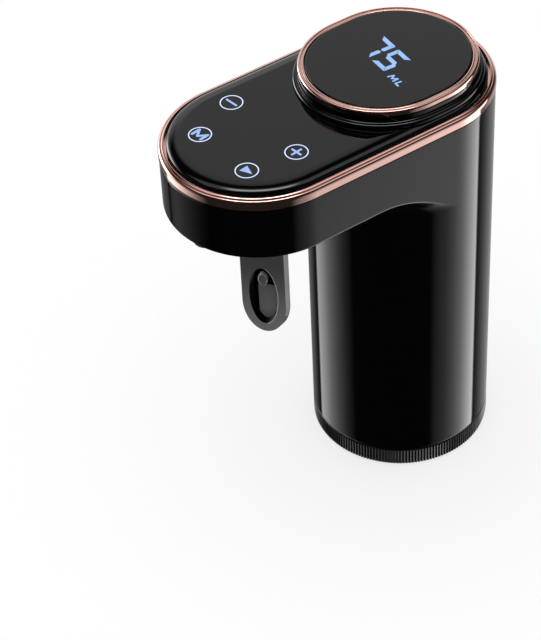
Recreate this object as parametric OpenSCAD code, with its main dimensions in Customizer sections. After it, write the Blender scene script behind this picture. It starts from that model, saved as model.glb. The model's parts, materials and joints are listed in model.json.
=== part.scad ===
// Electric wine aerator on a neck socket: a round tower, a slot-shaped head with a touch
// panel and a display, a gear pump with its motor, a push paddle and a spout.
// Front is -Y, up is +Z, and the origin is the centre of the neck socket's mouth.

/* [Tower] */
// Outer diameter of the tower and of the head's round ends
tower_d = 44; // [43:0.5:52]
// Height of the head's underside above the base
tower_h = 88.9; // [88:0.1:110]
// Wall thickness of the tower
tower_wall = 2; // [1.6:0.1:2.3]

/* [Head] */
// Distance from the tower axis to the centre of the head's round front
head_reach = 38.9; // [36:0.1:50]
// Height of the head's side wall, from its underside to the trim ring
head_h = 13.7; // [13.7:0.1:20]
// Wall thickness of the head
head_wall = 2; // [1.6:0.1:2.4]
// Thickness of the head's floor
floor_t = 2; // [1.6:0.1:2.4]
// Radius of the arch between the head's underside and the tower
arch_r = 8.5; // [4:0.5:11]
// Height of the lap between the tower and the head's collar
lap_h = 3; // [2:0.5:4]

/* [Head trim ring] */
// Height of the trim ring
trim_h = 3.2; // [2.8:0.1:5]
// Width of the trim ring seen from above
trim_w = 1.8; // [1.6:0.1:2.6]
// How far the trim ring stands out from the wall
trim_proud = 0.1; // [0:0.05:0.4]
// Radius of the trim ring's outer shoulder
trim_round = 0.8; // [0.3:0.1:1]
// Width and depth of the fine groove along the trim rings
trim_groove = 0.25; // [0.1:0.05:0.4]
// Width of the ledge that carries the touch panel
ledge_w = 1.4; // [1:0.1:2]
// Thickness of the ledge that carries the touch panel
ledge_t = 1; // [0.8:0.1:1.3]

/* [Touch panel] */
// Thickness of the touch panel
panel_t = 1.6; // [1.5:0.1:2]
// How far the touch panel stands above the trim ring
panel_rise = 0.5; // [0.2:0.1:1]
// Radius of the touch panel's rounded edge
panel_round = 1.3; // [0.5:0.1:1.4]
// Diameter of a touch pad under the panel
pad_d = 5; // [4:0.1:6]
// Height of a touch pad
pad_h = 3; // [2:0.1:3.4]
// Half the distance between the two rear touch keys
key_rear_x = 11.7; // [9:0.1:13]
// Distance of the rear touch keys behind the centre of the head's round front
key_rear_y = 2.3; // [0:0.1:6]
// Half the distance between the two front touch keys
key_front_x = 8.4; // [6:0.1:9]
// Distance of the front touch keys before the centre of the head's round front
key_front_y = 9.8; // [9:0.1:11]

/* [Display] */
// Width of the display lens
lens_d = 34.1; // [30:0.1:35]
// Length of the straight part of the display's outline
lens_straight = 4.3; // [0.5:0.1:10]
// Thickness of the display lens
lens_t = 1.4; // [1:0.1:2]
// Distance of the display's rear centre before the tower axis
display_shift = 0.7; // [0.7:0.1:4]
// Width of the display's trim ring seen from above
display_ring_w = 1.7; // [1.4:0.1:2]
// Height of the display's trim ring
display_ring_h = 1.3; // [1:0.1:1.9]
// Radius of the display trim ring's outer shoulder
display_ring_round = 0.6; // [0.2:0.1:0.8]
// Height of the display's base above the touch panel
display_base_h = 2.7; // [2.4:0.1:4]
// How far the display's base stands out round its trim ring
display_base_lip = 1.2; // [0.6:0.1:1.4]
// Radius of the base's rounded edge
display_base_round = 1.1; // [0.5:0.1:1.5]
// Width of the ledge of the base under the lens
display_ledge = 1.2; // [0.8:0.1:2]
// Height of the numeral module under the lens
module_h = 2.2; // [1.5:0.1:2.3]
// Width of the numeral module
module_w = 24; // [20:0.5:26]
// Depth of the numeral module
module_d = 13; // [10:0.5:15]
// Number of contact pins of the numeral module
module_pins = 6; // [3:1:8]

/* [Boards] */
// Thickness of the circuit boards
board_t = 1.2; // [0.8:0.1:1.6]
// Gap between the control board's edge and the head wall
board_edge = 2.5; // [1.5:0.1:4]
// Diameter of a post under the control board
post_d = 4.4; // [4:0.1:4.8]
// Length of a board screw's shank below the board
board_screw_l = 6; // [4:0.5:8]
// Width of the charging board
charge_w = 15; // [12:0.5:16]
// Depth of the charging board
charge_d = 13; // [11:0.5:14]
// Width of the charging socket
usb_w = 9; // [8.4:0.1:10]
// Height of the charging socket
usb_h = 3.2; // [2.8:0.1:3.6]
// Depth of the charging socket
usb_l = 7.4; // [6.5:0.1:8]
// Diameter of a power lead
lead_d = 1.2; // [0.8:0.1:1.6]

/* [Grip ring] */
// Height of the knurled grip ring
grip_h = 5; // [4:0.1:8]
// Number of ribs round the grip ring
grip_ribs = 176; // [60:2:200]
// Depth of the grooves between the ribs
grip_groove = 0.35; // [0.1:0.05:0.6]

/* [Neck socket] */
// Diameter of the bore of the neck socket
neck_d = 36.4; // [34:0.1:36.8]
// Depth of the bore of the neck socket
neck_depth = 20.3; // [16:0.1:24]
// Wall thickness of the socket
socket_wall = 1.2; // [0.8:0.05:1.2]
// Thickness of the socket's top
socket_top = 6; // [5.5:0.1:8]
// Height of the lip that carries the grip ring
lip_h = 1.2; // [0.8:0.1:2]
// Width of the lip that carries the grip ring
lip_w = 0.8; // [0.5:0.1:1]
// Width of the rim between the bore's wall and the neck gasket
gasket_rim = 3; // [3:0.1:4]
// Thickness of the neck gasket
gasket_t = 2.8; // [2:0.1:3]
// Diameter of the inlet barb's barrel
inlet_d = 6; // [5:0.1:6.4]
// Diameter of the air vent's hole
vent_d = 2.4; // [1.6:0.1:2.6]

/* [Chassis] */
// Thickness of the chassis disc
chassis_t = 2.5; // [2:0.1:4]
// Wall thickness of the battery cradle
cradle_wall = 1.2; // [1:0.1:1.6]
// Thickness of the chassis shelf
shelf_t = 2; // [1.5:0.1:3]
// Diameter of a chassis screw's shank
chassis_screw_d = 1.6; // [1.4:0.1:2]
// Diameter of the bosses that take the chassis screws
boss_d = 4.4; // [4:0.1:5]
// Height of the bosses that take the chassis screws
boss_h = 8; // [6:0.5:12]

/* [Battery] */
// Diameter of the battery cell
cell_d = 14; // [12:0.1:14.5]
// Length of the battery cell
cell_l = 43; // [36:0.5:46]
// Thickness of a battery contact
contact_t = 0.5; // [0.3:0.1:0.8]

/* [Pump] */
// Number of teeth of each pump gear
gear_teeth = 12; // [12:1:12]
// Module of the pump gears
gear_module = 0.75; // [0.6:0.05:0.8]
// Height of the pump gears
gear_h = 6; // [4:0.1:8]
// Wall round the gear chamber
pump_wall = 1.6; // [1.4:0.1:2]
// Thickness of the pump floor
pump_floor = 3; // [2.6:0.1:4]
// Thickness of the pump cover
cover_t = 3; // [2.6:0.1:4]
// Thickness of the pump gasket
pump_gasket_t = 0.4; // [0.3:0.1:0.8]
// Diameter of the fluid channels
port_d = 2.4; // [2:0.1:2.6]
// Diameter of the drive shaft and the idler pin
shaft_d = 2; // [1.6:0.1:2.4]
// Diameter of the motor
motor_d = 16; // [14:0.1:16.6]
// Length of the motor
motor_l = 24; // [20:0.5:26]
// Wall thickness of the motor clamp
clamp_wall = 1.3; // [1:0.1:1.6]
// Height of the motor clamp
clamp_h = 5; // [3:0.5:8]

/* [Tube and spout] */
// Outer diameter of the outlet tube
tube_d = 4.4; // [4:0.1:4.6]
// Bore of the outlet tube
tube_bore = 3; // [2.6:0.1:3.2]
// Bend radius of the outlet tube
tube_bend = 5; // [4:0.5:7]
// Bend radius of the outlet elbow
elbow_bend = 3.4; // [3:0.1:3.8]
// Distance of the spout before the centre of the head's round front
spout_forward = 15; // [13:0.1:15.2]
// Diameter of the spout's barrel
spout_d = 6; // [5:0.1:6.4]
// How far the spout reaches below the head
spout_drop = 5.4; // [4:0.1:7]
// Thickness of the spout's flange
flange_t = 1.6; // [1.2:0.1:2.4]
// Thickness of the spout nut
nut_t = 1.6; // [1.2:0.1:2.4]
// Thickness of the aerator insert
insert_t = 3; // [2:0.1:4]
// Number of holes in the aerator insert
insert_holes = 5; // [3:1:6]
// Wire diameter of the small sealing rings
seal_d = 1; // [0.8:0.05:1.2]

/* [Paddle] */
// Angle by which the paddle looks to the right of the spout's line
paddle_turn = 35; // [0:1:45]
// Width of the paddle
paddle_w = 11.8; // [10.6:0.1:13]
// Thickness of the paddle
paddle_t = 2.2; // [1.6:0.1:2.4]
// How far the paddle hangs below the head
paddle_l = 41; // [34:0.1:48]
// Height of the paddle's oval lower end
paddle_end = 9.1; // [6:0.1:11]
// Distance of the paddle's front face before the centre of the head's round front
paddle_forward = 1.5; // [0:0.1:3]
// Width of the paddle's oval pocket
pocket_w = 6.9; // [5:0.1:8]
// Height of the paddle's oval pocket
pocket_h = 16.9; // [14:0.1:18]
// Depth of the paddle's oval pocket
pocket_depth = 2.8; // [1.6:0.1:4]
// Wall round and behind the paddle's oval pocket
pocket_wall = 0.9; // [0.7:0.1:1.2]
// Distance of the pocket's middle above the paddle's lower end
pocket_up = 11.5; // [10.5:0.1:14]
// Diameter of the paddle's pin
pin_d = 2; // [1.6:0.1:2.2]
// Wall round the pin in the paddle's hub
hub_wall = 0.7; // [0.6:0.05:0.9]
// Thickness of the ears that carry the pin
ear_t = 2.4; // [2:0.1:3]
// Distance from the pin to the switch plunger
tail_l = 6; // [5:0.1:8]
// Width of the tail that presses the switch
tail_w = 4; // [3:0.1:5]
// Distance of the tail from the paddle's middle
tail_x = 3; // [2.6:0.1:3.2]
// Side of the micro-switch
switch_w = 6; // [5:0.1:7]
// Height of the micro-switch
switch_h = 3.4; // [3:0.1:3.6]
// Diameter of the switch plunger
plunger_d = 2.8; // [2:0.1:3.4]
// Width of the spring beside the hub
spring_w = 3.6; // [2:0.1:4.5]
// Thickness of the spring's coil
spring_t = 0.6; // [0.4:0.05:0.7]

/* [Clearances] */
// Radial clearance of a turning fit
run_gap = 0.05; // [0.02:0.01:0.1]
// Clearance of a piece that is pushed into its seat
seat_gap = 0.1; // [0.05:0.01:0.15]
// Clearance beside a moving piece
free_gap = 0.3; // [0.2:0.05:0.4]

/* [Hidden] */
$fn = 96;

// A cut reaches this far past the face it opens
past = 1;
// Outside and inside radii of the tower and of the head
tower_r = tower_d / 2;
tower_ri = tower_r - tower_wall;
head_ri = tower_r - head_wall;
// The tower ends where the arch begins, and its tongue is half as thick as its wall
seam_z = tower_h - arch_r;
lap_t = (tower_wall - seat_gap) / 2;
// A boss or web is sunk this far into the wall that it grows from
boss_sunk = 0.5;

// Heights of the head, from its underside to the top of the lens
floor_z = tower_h + floor_t;
trim_z = tower_h + head_h;
trim_top = trim_z + trim_h;
panel_top = trim_top + panel_rise;
panel_z = panel_top - panel_t;
board_z = panel_z - pad_h - board_t;
base_top = panel_top + display_base_h;

// Outlines of the touch panel and of the display
trim_ro = tower_r + trim_proud;
trim_ri = trim_ro - trim_w;
panel_r = trim_ri - seat_gap;
lens_r = lens_d / 2;
display_ring_r = lens_r + run_gap + display_ring_w;
display_base_r = display_ring_r + display_base_lip;
pin_row_y = -display_shift - lens_straight / 2;
pin_pitch = 2;
pin_r = 0.3;
pin_slot_w = (module_pins + 1) * pin_pitch;

// Heights of the socket, the chassis and the pump
grip_gap = 0.15;
tower_z = grip_h + grip_gap;
sleeve_r = neck_d / 2 + socket_wall;
chassis_z = neck_depth + socket_top;
pump_z = chassis_z + chassis_t;
chamber_z = pump_z + pump_floor;
chamber_h = gear_h + seat_gap;
gasket_z = chamber_z + chamber_h;
cover_z = gasket_z + pump_gasket_t;
motor_z = cover_z + cover_t;

// Gears: pitch, tip and root radii, and the chamber round them
pitch_r = gear_module * gear_teeth / 2;
tip_r = pitch_r + 0.95 * gear_module;
root_r = pitch_r - 1.25 * gear_module;
chamber_r = tip_r + 0.15;
pump_half = chamber_r + pump_wall;
// The idler's pin is pressed this far into the pump's floor
pin_sunk = 2;
// The inlet port lies on the tower axis, and the gears beside it
port_off = pump_half - pump_wall / 2 - port_d / 2 - 0.4;
pump_x = port_off;
port_z = chamber_z + gear_h / 2;
pump_screw_in = 1.8;
pump_screw_d = 1.4;
pump_head_d = 2.4;
pump_sunk = 1.4;
seal_h = 1.6;
seal_out = shaft_d / 2 + 1.6;

// The chassis screws stand in a circle between the neck gasket and the socket's wall
gasket_d = neck_d - 2 * gasket_rim;
screw_ring = neck_d / 2 - gasket_rim / 2;
screw_angles = [28, 130, 270];
screw_head_d = 2.3;
screw_head_h = 1.5;
screw_sunk = 0.2;

// The battery stands in its cradle beside the wall
cell_gap = 0.2;
wall_gap = 0.6;
cell_angle = 203;
cell_off = tower_ri - wall_gap - cradle_wall - cell_gap - cell_d / 2;
cell_x = cell_off * cos(cell_angle);
cell_y = cell_off * sin(cell_angle);
cell_z = pump_z + contact_t;
shelf_z = cell_z + cell_l + contact_t;
contact_edge = 1.5;
contact_d = cell_d - 2 * contact_edge;
strut_w = 3;
strut_off = 4.4;
strut_x = cell_x - strut_off;
motor_y = pitch_r;
motor_cap_h = 2;
motor_cap_edge = 1.5;
tag_x = 4;
tag_t = 0.6;
tag_w = 2;
tag_h = 3;
clamp_z = motor_z + motor_l / 2;
strut_far = motor_y + 2;

// The charging board lies on the shelf, with its socket in the rear wall
charge_z = shelf_z + shelf_t;
charge_rear = tower_ri - 2.5;
usb_z = charge_z + board_t;
usb_mouth = tower_r - 0.4;
usb_skin = 0.3;
lead_x = 2.5;
lead_edge = 3;
lead_y = charge_rear - charge_d + lead_edge;

// The outlet tube climbs beside the wall and runs through the head to the spout
tube_r = tube_d / 2;
tube_x = tower_ri - wall_gap - tube_r;
tube_z = board_z - 0.5 - tube_r;
barb_r = tube_bore / 2 - run_gap;
barb_l = 4;
elbow_r = tube_r - 0.2;
elbow_flange_r = 2.8;
elbow_flange_t = 0.8;
pump_side = pump_x + pump_half;
elbow_top = port_z + elbow_bend + 1;
spout_y = -head_reach - spout_forward;
spout_run = sqrt(tube_x * tube_x + spout_y * spout_y);
spout_turn = atan2(-tube_x, -spout_y);
spout_body_r = 4;
spout_flange_r = 4.7;
spout_nut_r = 4.9;
spout_top = tube_z + tube_r;
spout_tip = tower_h - spout_drop;
spout_bore_r = 1.5;
insert_r = spout_d / 2 - 0.8;
insert_hole_r = 0.35;
seal_r = seal_d / 2;
seal_ring_r = spout_d / 2 + run_gap + seal_r + 0.1;
flange_z = floor_z + seal_d;

// The paddle's pin, hub, pocket and tail
paddle_front = -head_reach - paddle_forward;
hub_r = pin_d / 2 + run_gap + hub_wall;
pin_y = paddle_front + paddle_t / 2;
pin_z = floor_z + hub_r + 0.2;
paddle_z = tower_h - paddle_l;
pocket_z = paddle_z + pocket_up;
spring_x = paddle_w / 2 - spring_w;
ear_x = paddle_w / 2 + 0.4;
tail_y = pin_y + tail_l;
plunger_gap = 0.1;
plunger_z = board_z - switch_h - 1.8;
tail_top = plunger_z - plunger_gap;
tail_t = 1.2;
plunger_travel = 1.2;
plunger_in = 1;

// Places of the control board's screws and of the touch keys
board_r = head_ri - board_edge;
post_rear_x = 15;
post_rear_y = 2;
post_front_x = 13;
post_front_y = 5.1;
post_places = [for (s = [-1, 1]) each [[s * post_rear_x, -tower_r - post_rear_y],
                                       [s * post_front_x, -head_reach - post_front_y]]];
post_hole_d = 1.7;
board_screw_d = 1.6;
board_head_d = 3.2;
board_head_h = 1.2;
key_places = [for (s = [-1, 1]) each [[s * key_rear_x, -head_reach + key_rear_y],
                                      [s * key_front_x, -head_reach - key_front_y]]];

// Air vent beside the inlet
vent_x = -6.2;
vent_y = 3;

// Slot outline: two round ends joined by straight sides
module slot(r, reach) {
  circle(r);
  translate([0, -reach]) circle(r);
  translate([-r, -reach]) square([2 * r, reach]);
}

// Sweeps a profile, drawn at its distance from the middle, round a slot outline
module slot_sweep(reach, shift = 0) {
  translate([0, -shift, 0]) rotate_extrude(angle = 180) children();
  translate([0, -shift - reach, 0]) rotate([0, 0, 180]) rotate_extrude(angle = 180) children();
  for (s = [0, 1])
    mirror([s, 0, 0])
      translate([0, -shift, 0]) rotate([90, 0, 0]) linear_extrude(reach) children();
}

// Profile from x = a to b and from y = 0 to h, with its outer upper corner rounded
module rounded_profile(a, b, h, round) {
  translate([a, 0]) square([b - a, h - round]);
  translate([a, 0]) square([b - a - round, h]);
  intersection() {
    translate([b - round, h - round]) circle(round);
    translate([b - round, h - round]) square(round);
  }
}

// Profile of a trim ring: rounded shoulder, fine groove and inner lip
module trim_profile(a, b, h, round) {
  difference() {
    rounded_profile(a, b, h, round);
    translate([(a + b - round) / 2 - trim_groove / 2, h - trim_groove])
      square([trim_groove, trim_groove + past]);
  }
}

// Rod from a to b along X, at height z and depth y
module rod_x(a, b, r, y, z) {
  translate([a, y, z]) rotate([0, 90, 0]) cylinder(r = r, h = b - a);
}

// Rod that climbs from z0, bends forward and runs level at z1 for the given reach
module climbing_rod(r, z0, z1, bend, reach) {
  translate([0, 0, z0]) cylinder(r = r, h = z1 - bend - z0);
  translate([0, -bend, z1 - bend])
    rotate([90, 0, 90]) rotate_extrude(angle = 90) translate([bend, 0]) circle(r);
  translate([0, -bend, z1]) rotate([90, 0, 0]) cylinder(r = r, h = reach - bend);
}

// Rod that leaves the pump sideways at height z and bends upwards to z1
module rising_elbow(r, x0, z, z1) {
  rod_x(x0, tube_x - elbow_bend, r, 0, z);
  translate([tube_x - elbow_bend, 0, z + elbow_bend])
    rotate([90, 90, 0]) rotate_extrude(angle = 90) translate([elbow_bend, 0]) circle(r);
  translate([tube_x, 0, z + elbow_bend]) cylinder(r = r, h = z1 - z - elbow_bend);
}

// Places its children at each chassis screw
module at_chassis_screws() {
  for (a = screw_angles) rotate([0, 0, a]) translate([screw_ring, 0, 0]) children();
}

// Places its children at each pump screw
module at_pump_screws() {
  for (sx = [-1, 1])
    for (sy = [-1, 1])
      translate([pump_x + sx * (pump_half - pump_screw_in), sy * (pitch_r + pump_half - pump_screw_in), 0])
        children();
}

// Round screw head with its shank below it
module screw(head_d, head_h, shank_d, shank_l) {
  cylinder(d = head_d, h = head_h);
  translate([0, 0, -shank_l]) cylinder(d = shank_d, h = shank_l);
}

// Sealing ring of round section
module seal_ring(ring_r) {
  rotate_extrude() translate([ring_r, 0]) circle(seal_r);
}

// Outline of a pump gear with straight-flanked teeth
module gear_outline() {
  pitch_angle = 360 / gear_teeth;
  flank = [[root_r, 0.3], [pitch_r, 0.205], [tip_r, 0.1]];
  polygon([for (i = [0 : gear_teeth - 1])
    each concat(
      [for (p = flank) p[0] * [cos((i - p[1]) * pitch_angle), sin((i - p[1]) * pitch_angle)]],
      [for (k = [2 : -1 : 0]) flank[k][0] * [cos((i + flank[k][1]) * pitch_angle),
                                             sin((i + flank[k][1]) * pitch_angle)]])]);
}

// Outline of the pump's block and of its gear chamber with the channels beside the mesh
module pump_outline() {
  translate([pump_x - pump_half, -pitch_r - pump_half]) square([2 * pump_half, 2 * (pitch_r + pump_half)]);
}
module chamber_outline() {
  for (s = [-1, 1]) translate([pump_x, s * pitch_r]) circle(chamber_r);
}

// Tower tube with the screw bosses and the thin tongue that goes up into the head's collar
module tower_shell() {
  color("#0b0b0c") {
    difference() {
      union() {
        translate([0, 0, tower_z]) cylinder(r = tower_r, h = seam_z - tower_z);
        translate([0, 0, tower_z]) cylinder(r = tower_ri + lap_t, h = seam_z + lap_h - tower_z);
      }
      translate([0, 0, tower_z - past]) cylinder(r = tower_ri, h = seam_z + lap_h - tower_z + 2 * past);
      usb_outline(tower_ri - past, tower_r + past, seat_gap);
    }
    difference() {
      at_chassis_screws() translate([0, 0, pump_z]) {
        cylinder(d = boss_d, h = boss_h);
        translate([0, -boss_d / 2, 0]) cube([tower_ri - screw_ring + boss_sunk, boss_d, boss_h]);
      }
      at_chassis_screws() translate([0, 0, pump_z - past]) cylinder(d = chassis_screw_d, h = boss_h);
    }
  }
}

// Head with its collar on the tower, the arch, the posts of the board and the paddle's ears
module head_shell() {
  arch_bite = 0.05;
  slot_front = paddle_t / 2 + 0.5;
  slot_rear = paddle_t / 2 + 1;
  slot_w = paddle_w + 0.8;
  color("#0b0b0c") {
    difference() {
      union() {
        translate([0, 0, seam_z]) cylinder(r = tower_r, h = tower_h - seam_z);
        translate([0, 0, tower_h]) linear_extrude(head_h) slot(tower_r, head_reach);
        intersection() {
          rotate_extrude() difference() {
            translate([tower_ri + boss_sunk, seam_z])
              square([arch_r + tower_wall - boss_sunk, arch_r + floor_t / 2]);
            translate([tower_r + arch_r - arch_bite, seam_z + arch_bite]) circle(arch_r);
          }
          translate([-tower_r, -tower_r - arch_r, seam_z])
            cube([tower_d, tower_r + arch_r, arch_r + floor_t]);
        }
      }
      translate([0, 0, seam_z - past]) cylinder(r = tower_ri, h = floor_z - seam_z + past);
      translate([0, 0, seam_z - past])
        cylinder(r = tower_ri + lap_t + seat_gap, h = lap_h + seat_gap + past);
      translate([0, 0, floor_z]) linear_extrude(head_h) slot(head_ri, head_reach);
      translate([0, spout_y, tower_h - past]) cylinder(r = spout_d / 2 + run_gap, h = floor_t + 2 * past);
      at_paddle() translate([-slot_w / 2, pin_y - slot_front, tower_h - past])
        cube([slot_w, slot_front + slot_rear, floor_t + 2 * past]);
      usb_outline(tower_ri - past, tower_r + past, seat_gap);
    }
    for (p = post_places)
      difference() {
        translate([p[0], p[1], floor_z - past / 2]) cylinder(d = post_d, h = board_z - floor_z + past / 2);
        translate([p[0], p[1], board_z - board_screw_l - past])
          cylinder(d = post_hole_d, h = board_screw_l + 2 * past);
      }
    at_paddle() for (s = [0, 1])
      mirror([s, 0, 0])
        difference() {
          translate([ear_x, pin_y - hub_r - 0.5, floor_z - past / 2])
            cube([ear_t, 2 * hub_r + 1, pin_z - floor_z + hub_r + 0.5 + past / 2]);
          rod_x(ear_x - past, ear_x + ear_t + past, pin_d / 2 + run_gap / 2, pin_y, pin_z);
        }
  }
}

// Ring round the head's upper edge, with the ledge that carries the touch panel
module head_trim_ring() {
  color("#d9a093")
    translate([0, 0, trim_z])
      slot_sweep(head_reach) {
        trim_profile(trim_ri, trim_ro, trim_h, trim_round);
        translate([trim_ri - ledge_w, 0]) square([ledge_w + seat_gap, ledge_t]);
      }
}

// Glossy panel over the touch keys, open for the display's pins
module touch_panel() {
  color("#2b2b2c")
    difference() {
      translate([0, 0, panel_z]) slot_sweep(head_reach) rounded_profile(0, panel_r, panel_t, panel_round);
      translate([-pin_slot_w / 2, pin_row_y - 1, panel_z - past]) cube([pin_slot_w, 2, panel_t + 2 * past]);
    }
}

// Soft frame between the panel and its ledge
module panel_gasket() {
  color("#1c1c1c")
    translate([0, 0, trim_z + ledge_t])
      slot_sweep(head_reach)
        translate([trim_ri - ledge_w, 0]) square([ledge_w - seat_gap, panel_z - trim_z - ledge_t]);
}

// Raised black frame that carries the lens and its ring
module display_base() {
  color("#0b0b0c")
    translate([0, 0, panel_top])
      slot_sweep(lens_straight, display_shift)
        rounded_profile(lens_r - display_ledge, display_base_r, display_base_h, display_base_round);
}

// Ring round the lens
module display_trim_ring() {
  color("#d9a093")
    translate([0, 0, base_top])
      slot_sweep(lens_straight, display_shift)
        trim_profile(lens_r + run_gap, display_ring_r, display_ring_h, display_ring_round);
}

// Dark lens over the numerals
module display_lens() {
  color("#2b2b2c")
    translate([0, -display_shift, base_top]) linear_extrude(lens_t) slot(lens_r, lens_straight);
}

// Numeral module on the panel, below the lens
module display_module() {
  color("#e8e8e8")
    translate([-module_w / 2, pin_row_y - module_d / 2, panel_top]) cube([module_w, module_d, module_h]);
}

// Pins from the numeral module to the control board
module display_pins() {
  color("#c8b068")
    for (i = [0 : module_pins - 1])
      translate([(i - (module_pins - 1) / 2) * pin_pitch, pin_row_y, board_z + board_t])
        cylinder(r = pin_r, h = panel_top - board_z - board_t);
}

// Main circuit board under the touch panel
module control_board() {
  color("#1d5a3a")
    difference() {
      translate([0, 0, board_z]) linear_extrude(board_t) slot(board_r, head_reach);
      for (p = post_places)
        translate([p[0], p[1], board_z - past]) cylinder(d = post_hole_d, h = board_t + 2 * past);
    }
}

// Screws of the control board
module board_screws() {
  color("#9a9a9a")
    for (p = post_places)
      translate([p[0], p[1], board_z + board_t])
        screw(board_head_d, board_head_h, board_screw_d, board_t + board_screw_l);
}

// Conducting pads between the board and the touch keys
module touch_pads() {
  color("#404040")
    for (p = key_places)
      translate([p[0], p[1], board_z + board_t]) cylinder(d = pad_d, h = pad_h);
}

// Disc, battery cradle, strut and shelf that carry everything in the tower
module inner_chassis() {
  cradle_h = shelf_z - pump_z;
  cradle_r = cell_d / 2 + cell_gap + cradle_wall;
  color("#55585c")
    difference() {
      union() {
        translate([0, 0, chassis_z]) cylinder(r = tower_ri - seat_gap, h = chassis_t);
        difference() {
          union() {
            translate([cell_x, cell_y, pump_z])
              rotate([0, 0, cell_angle - 90]) rotate_extrude(angle = 180)
                square([cradle_r, cradle_h]);
            translate([strut_x, cell_y, pump_z]) cube([strut_w, strut_far - cell_y, cradle_h]);
          }
          translate([cell_x, cell_y, pump_z - past])
            cylinder(r = cell_d / 2 + cell_gap, h = cradle_h + 2 * past);
        }
        intersection() {
          translate([0, 0, shelf_z]) cylinder(r = tower_ri - seat_gap, h = shelf_t);
          union() {
            translate([-tower_r, cell_y - cradle_r - past, shelf_z])
              cube([tower_r + cell_x + contact_d / 2, tower_d, shelf_t]);
            translate([-tower_r, strut_far - strut_w, shelf_z])
              cube([tower_r + charge_w / 2, tower_d, shelf_t]);
          }
        }
      }
      translate([0, 0, chassis_z - past]) cylinder(r = inlet_d / 2 + 1.4, h = chassis_t + 2 * past);
      translate([vent_x, vent_y, chassis_z - past]) cylinder(r = vent_d / 2 + 1, h = chassis_t + 2 * past);
      at_chassis_screws() translate([0, 0, chassis_z - past])
        cylinder(d = chassis_screw_d + 2 * seat_gap, h = chassis_t + 2 * past);
      for (s = [-1, 1])
        translate([s * lead_x, lead_y, shelf_z - past])
          cylinder(d = lead_d + 2 * free_gap, h = shelf_t + 2 * past);
    }
}

// Long screws that hold the socket and the chassis in the tower
module chassis_screws() {
  color("#9a9a9a")
    at_chassis_screws() translate([0, 0, neck_depth + screw_sunk]) {
      cylinder(d = screw_head_d, h = screw_head_h);
      cylinder(d = chassis_screw_d, h = pump_z + boss_h - 2 * past - neck_depth);
    }
}

// Rechargeable cell
module battery_cell() {
  color("#2f6fb0")
    translate([cell_x, cell_y, cell_z]) cylinder(d = cell_d, h = cell_l);
}

// Contact discs at the two ends of the cell
module battery_contacts() {
  color("#c0c0c0")
    for (z = [cell_z - contact_t, cell_z + cell_l])
      translate([cell_x, cell_y, z]) cylinder(d = contact_d, h = contact_t);
}

// Charging board on the chassis shelf
module charge_board() {
  color("#1d5a3a")
    translate([-charge_w / 2, charge_rear - charge_d, charge_z]) cube([charge_w, charge_d, board_t]);
}

// Rounded outline of the charging socket from y0 to y1, grown by a clearance
module usb_outline(y0, y1, grow) {
  r = usb_h / 2 + grow;
  flat = usb_w / 2 - usb_h / 2;
  translate([0, y0, usb_z + usb_h / 2]) {
    for (s = [-1, 1]) translate([s * flat, 0, 0]) rotate([-90, 0, 0]) cylinder(r = r, h = y1 - y0);
    translate([-flat, 0, -r]) cube([2 * flat, y1 - y0, 2 * r]);
  }
}

// Charging socket with its contact tongue
module usb_socket() {
  color("#b8b8ba") {
    difference() {
      usb_outline(usb_mouth - usb_l, usb_mouth, 0);
      usb_outline(usb_mouth - usb_l + 1, usb_mouth + past, -usb_skin);
    }
    translate([-usb_w * 0.37, usb_mouth - usb_l + 0.5, usb_z + usb_h / 2 - 0.35])
      cube([usb_w * 0.74, usb_l - 2, 0.7]);
  }
}

// Two leads from the charging board to the control board
module power_leads() {
  color("#a01818")
    for (s = [-1, 1])
      translate([s * lead_x, lead_y, charge_z + board_t])
        cylinder(d = lead_d, h = board_z - charge_z - board_t);
}

// Pump block with the gear chamber, the inlet below and the outlet at its side
module pump_body() {
  color("#d8d4c8")
    difference() {
      translate([0, 0, pump_z]) linear_extrude(pump_floor + chamber_h) pump_outline();
      translate([0, 0, chamber_z]) linear_extrude(chamber_h + past) chamber_outline();
      translate([0, -port_d / 2, chamber_z]) cube([pump_x, port_d, gear_h / 2]);
      translate([0, 0, pump_z - past]) cylinder(d = port_d, h = pump_floor + gear_h / 2 + past);
      translate([0, 0, pump_z - past]) cylinder(r = inlet_d / 2 - 0.4, h = seal_d + past);
      rod_x(pump_x, pump_side + past, port_d / 2, 0, port_z);
      translate([pump_x, -pitch_r, chamber_z - pin_sunk]) cylinder(d = shaft_d, h = pin_sunk + past);
      at_pump_screws() translate([0, 0, chamber_z]) cylinder(d = pump_screw_d, h = chamber_h + past);
    }
}

// Thin gasket between the pump block and its cover
module pump_gasket() {
  color("#303030")
    translate([0, 0, gasket_z])
      linear_extrude(pump_gasket_t)
        difference() {
          pump_outline();
          chamber_outline();
          at_pump_screws() circle(d = pump_screw_d + seat_gap);
        }
}

// Pump cover with the shaft's hole and the pocket of its seal
module pump_cover() {
  color("#d8d4c8")
    difference() {
      translate([0, 0, cover_z]) linear_extrude(cover_t) pump_outline();
      translate([pump_x, pitch_r, cover_z - past])
        cylinder(r = shaft_d / 2 + run_gap, h = cover_t + 2 * past);
      translate([pump_x, pitch_r, motor_z - seal_h]) cylinder(r = seal_out + run_gap, h = seal_h + past);
      translate([pump_x, -pitch_r, cover_z - past]) cylinder(r = shaft_d / 2 + run_gap, h = 1 + past);
      at_pump_screws() translate([0, 0, cover_z - past])
        cylinder(d = pump_screw_d + seat_gap, h = cover_t + 2 * past);
      at_pump_screws() translate([0, 0, motor_z - pump_sunk])
        cylinder(d = pump_head_d + 2 * seat_gap, h = pump_sunk + past);
    }
}

// Screws of the pump cover, sunk below the motor
module pump_screws() {
  color("#9a9a9a")
    at_pump_screws() translate([0, 0, motor_z - pump_sunk])
      screw(pump_head_d, pump_sunk - 0.2, pump_screw_d, motor_z - pump_sunk - chamber_z);
}

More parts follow.
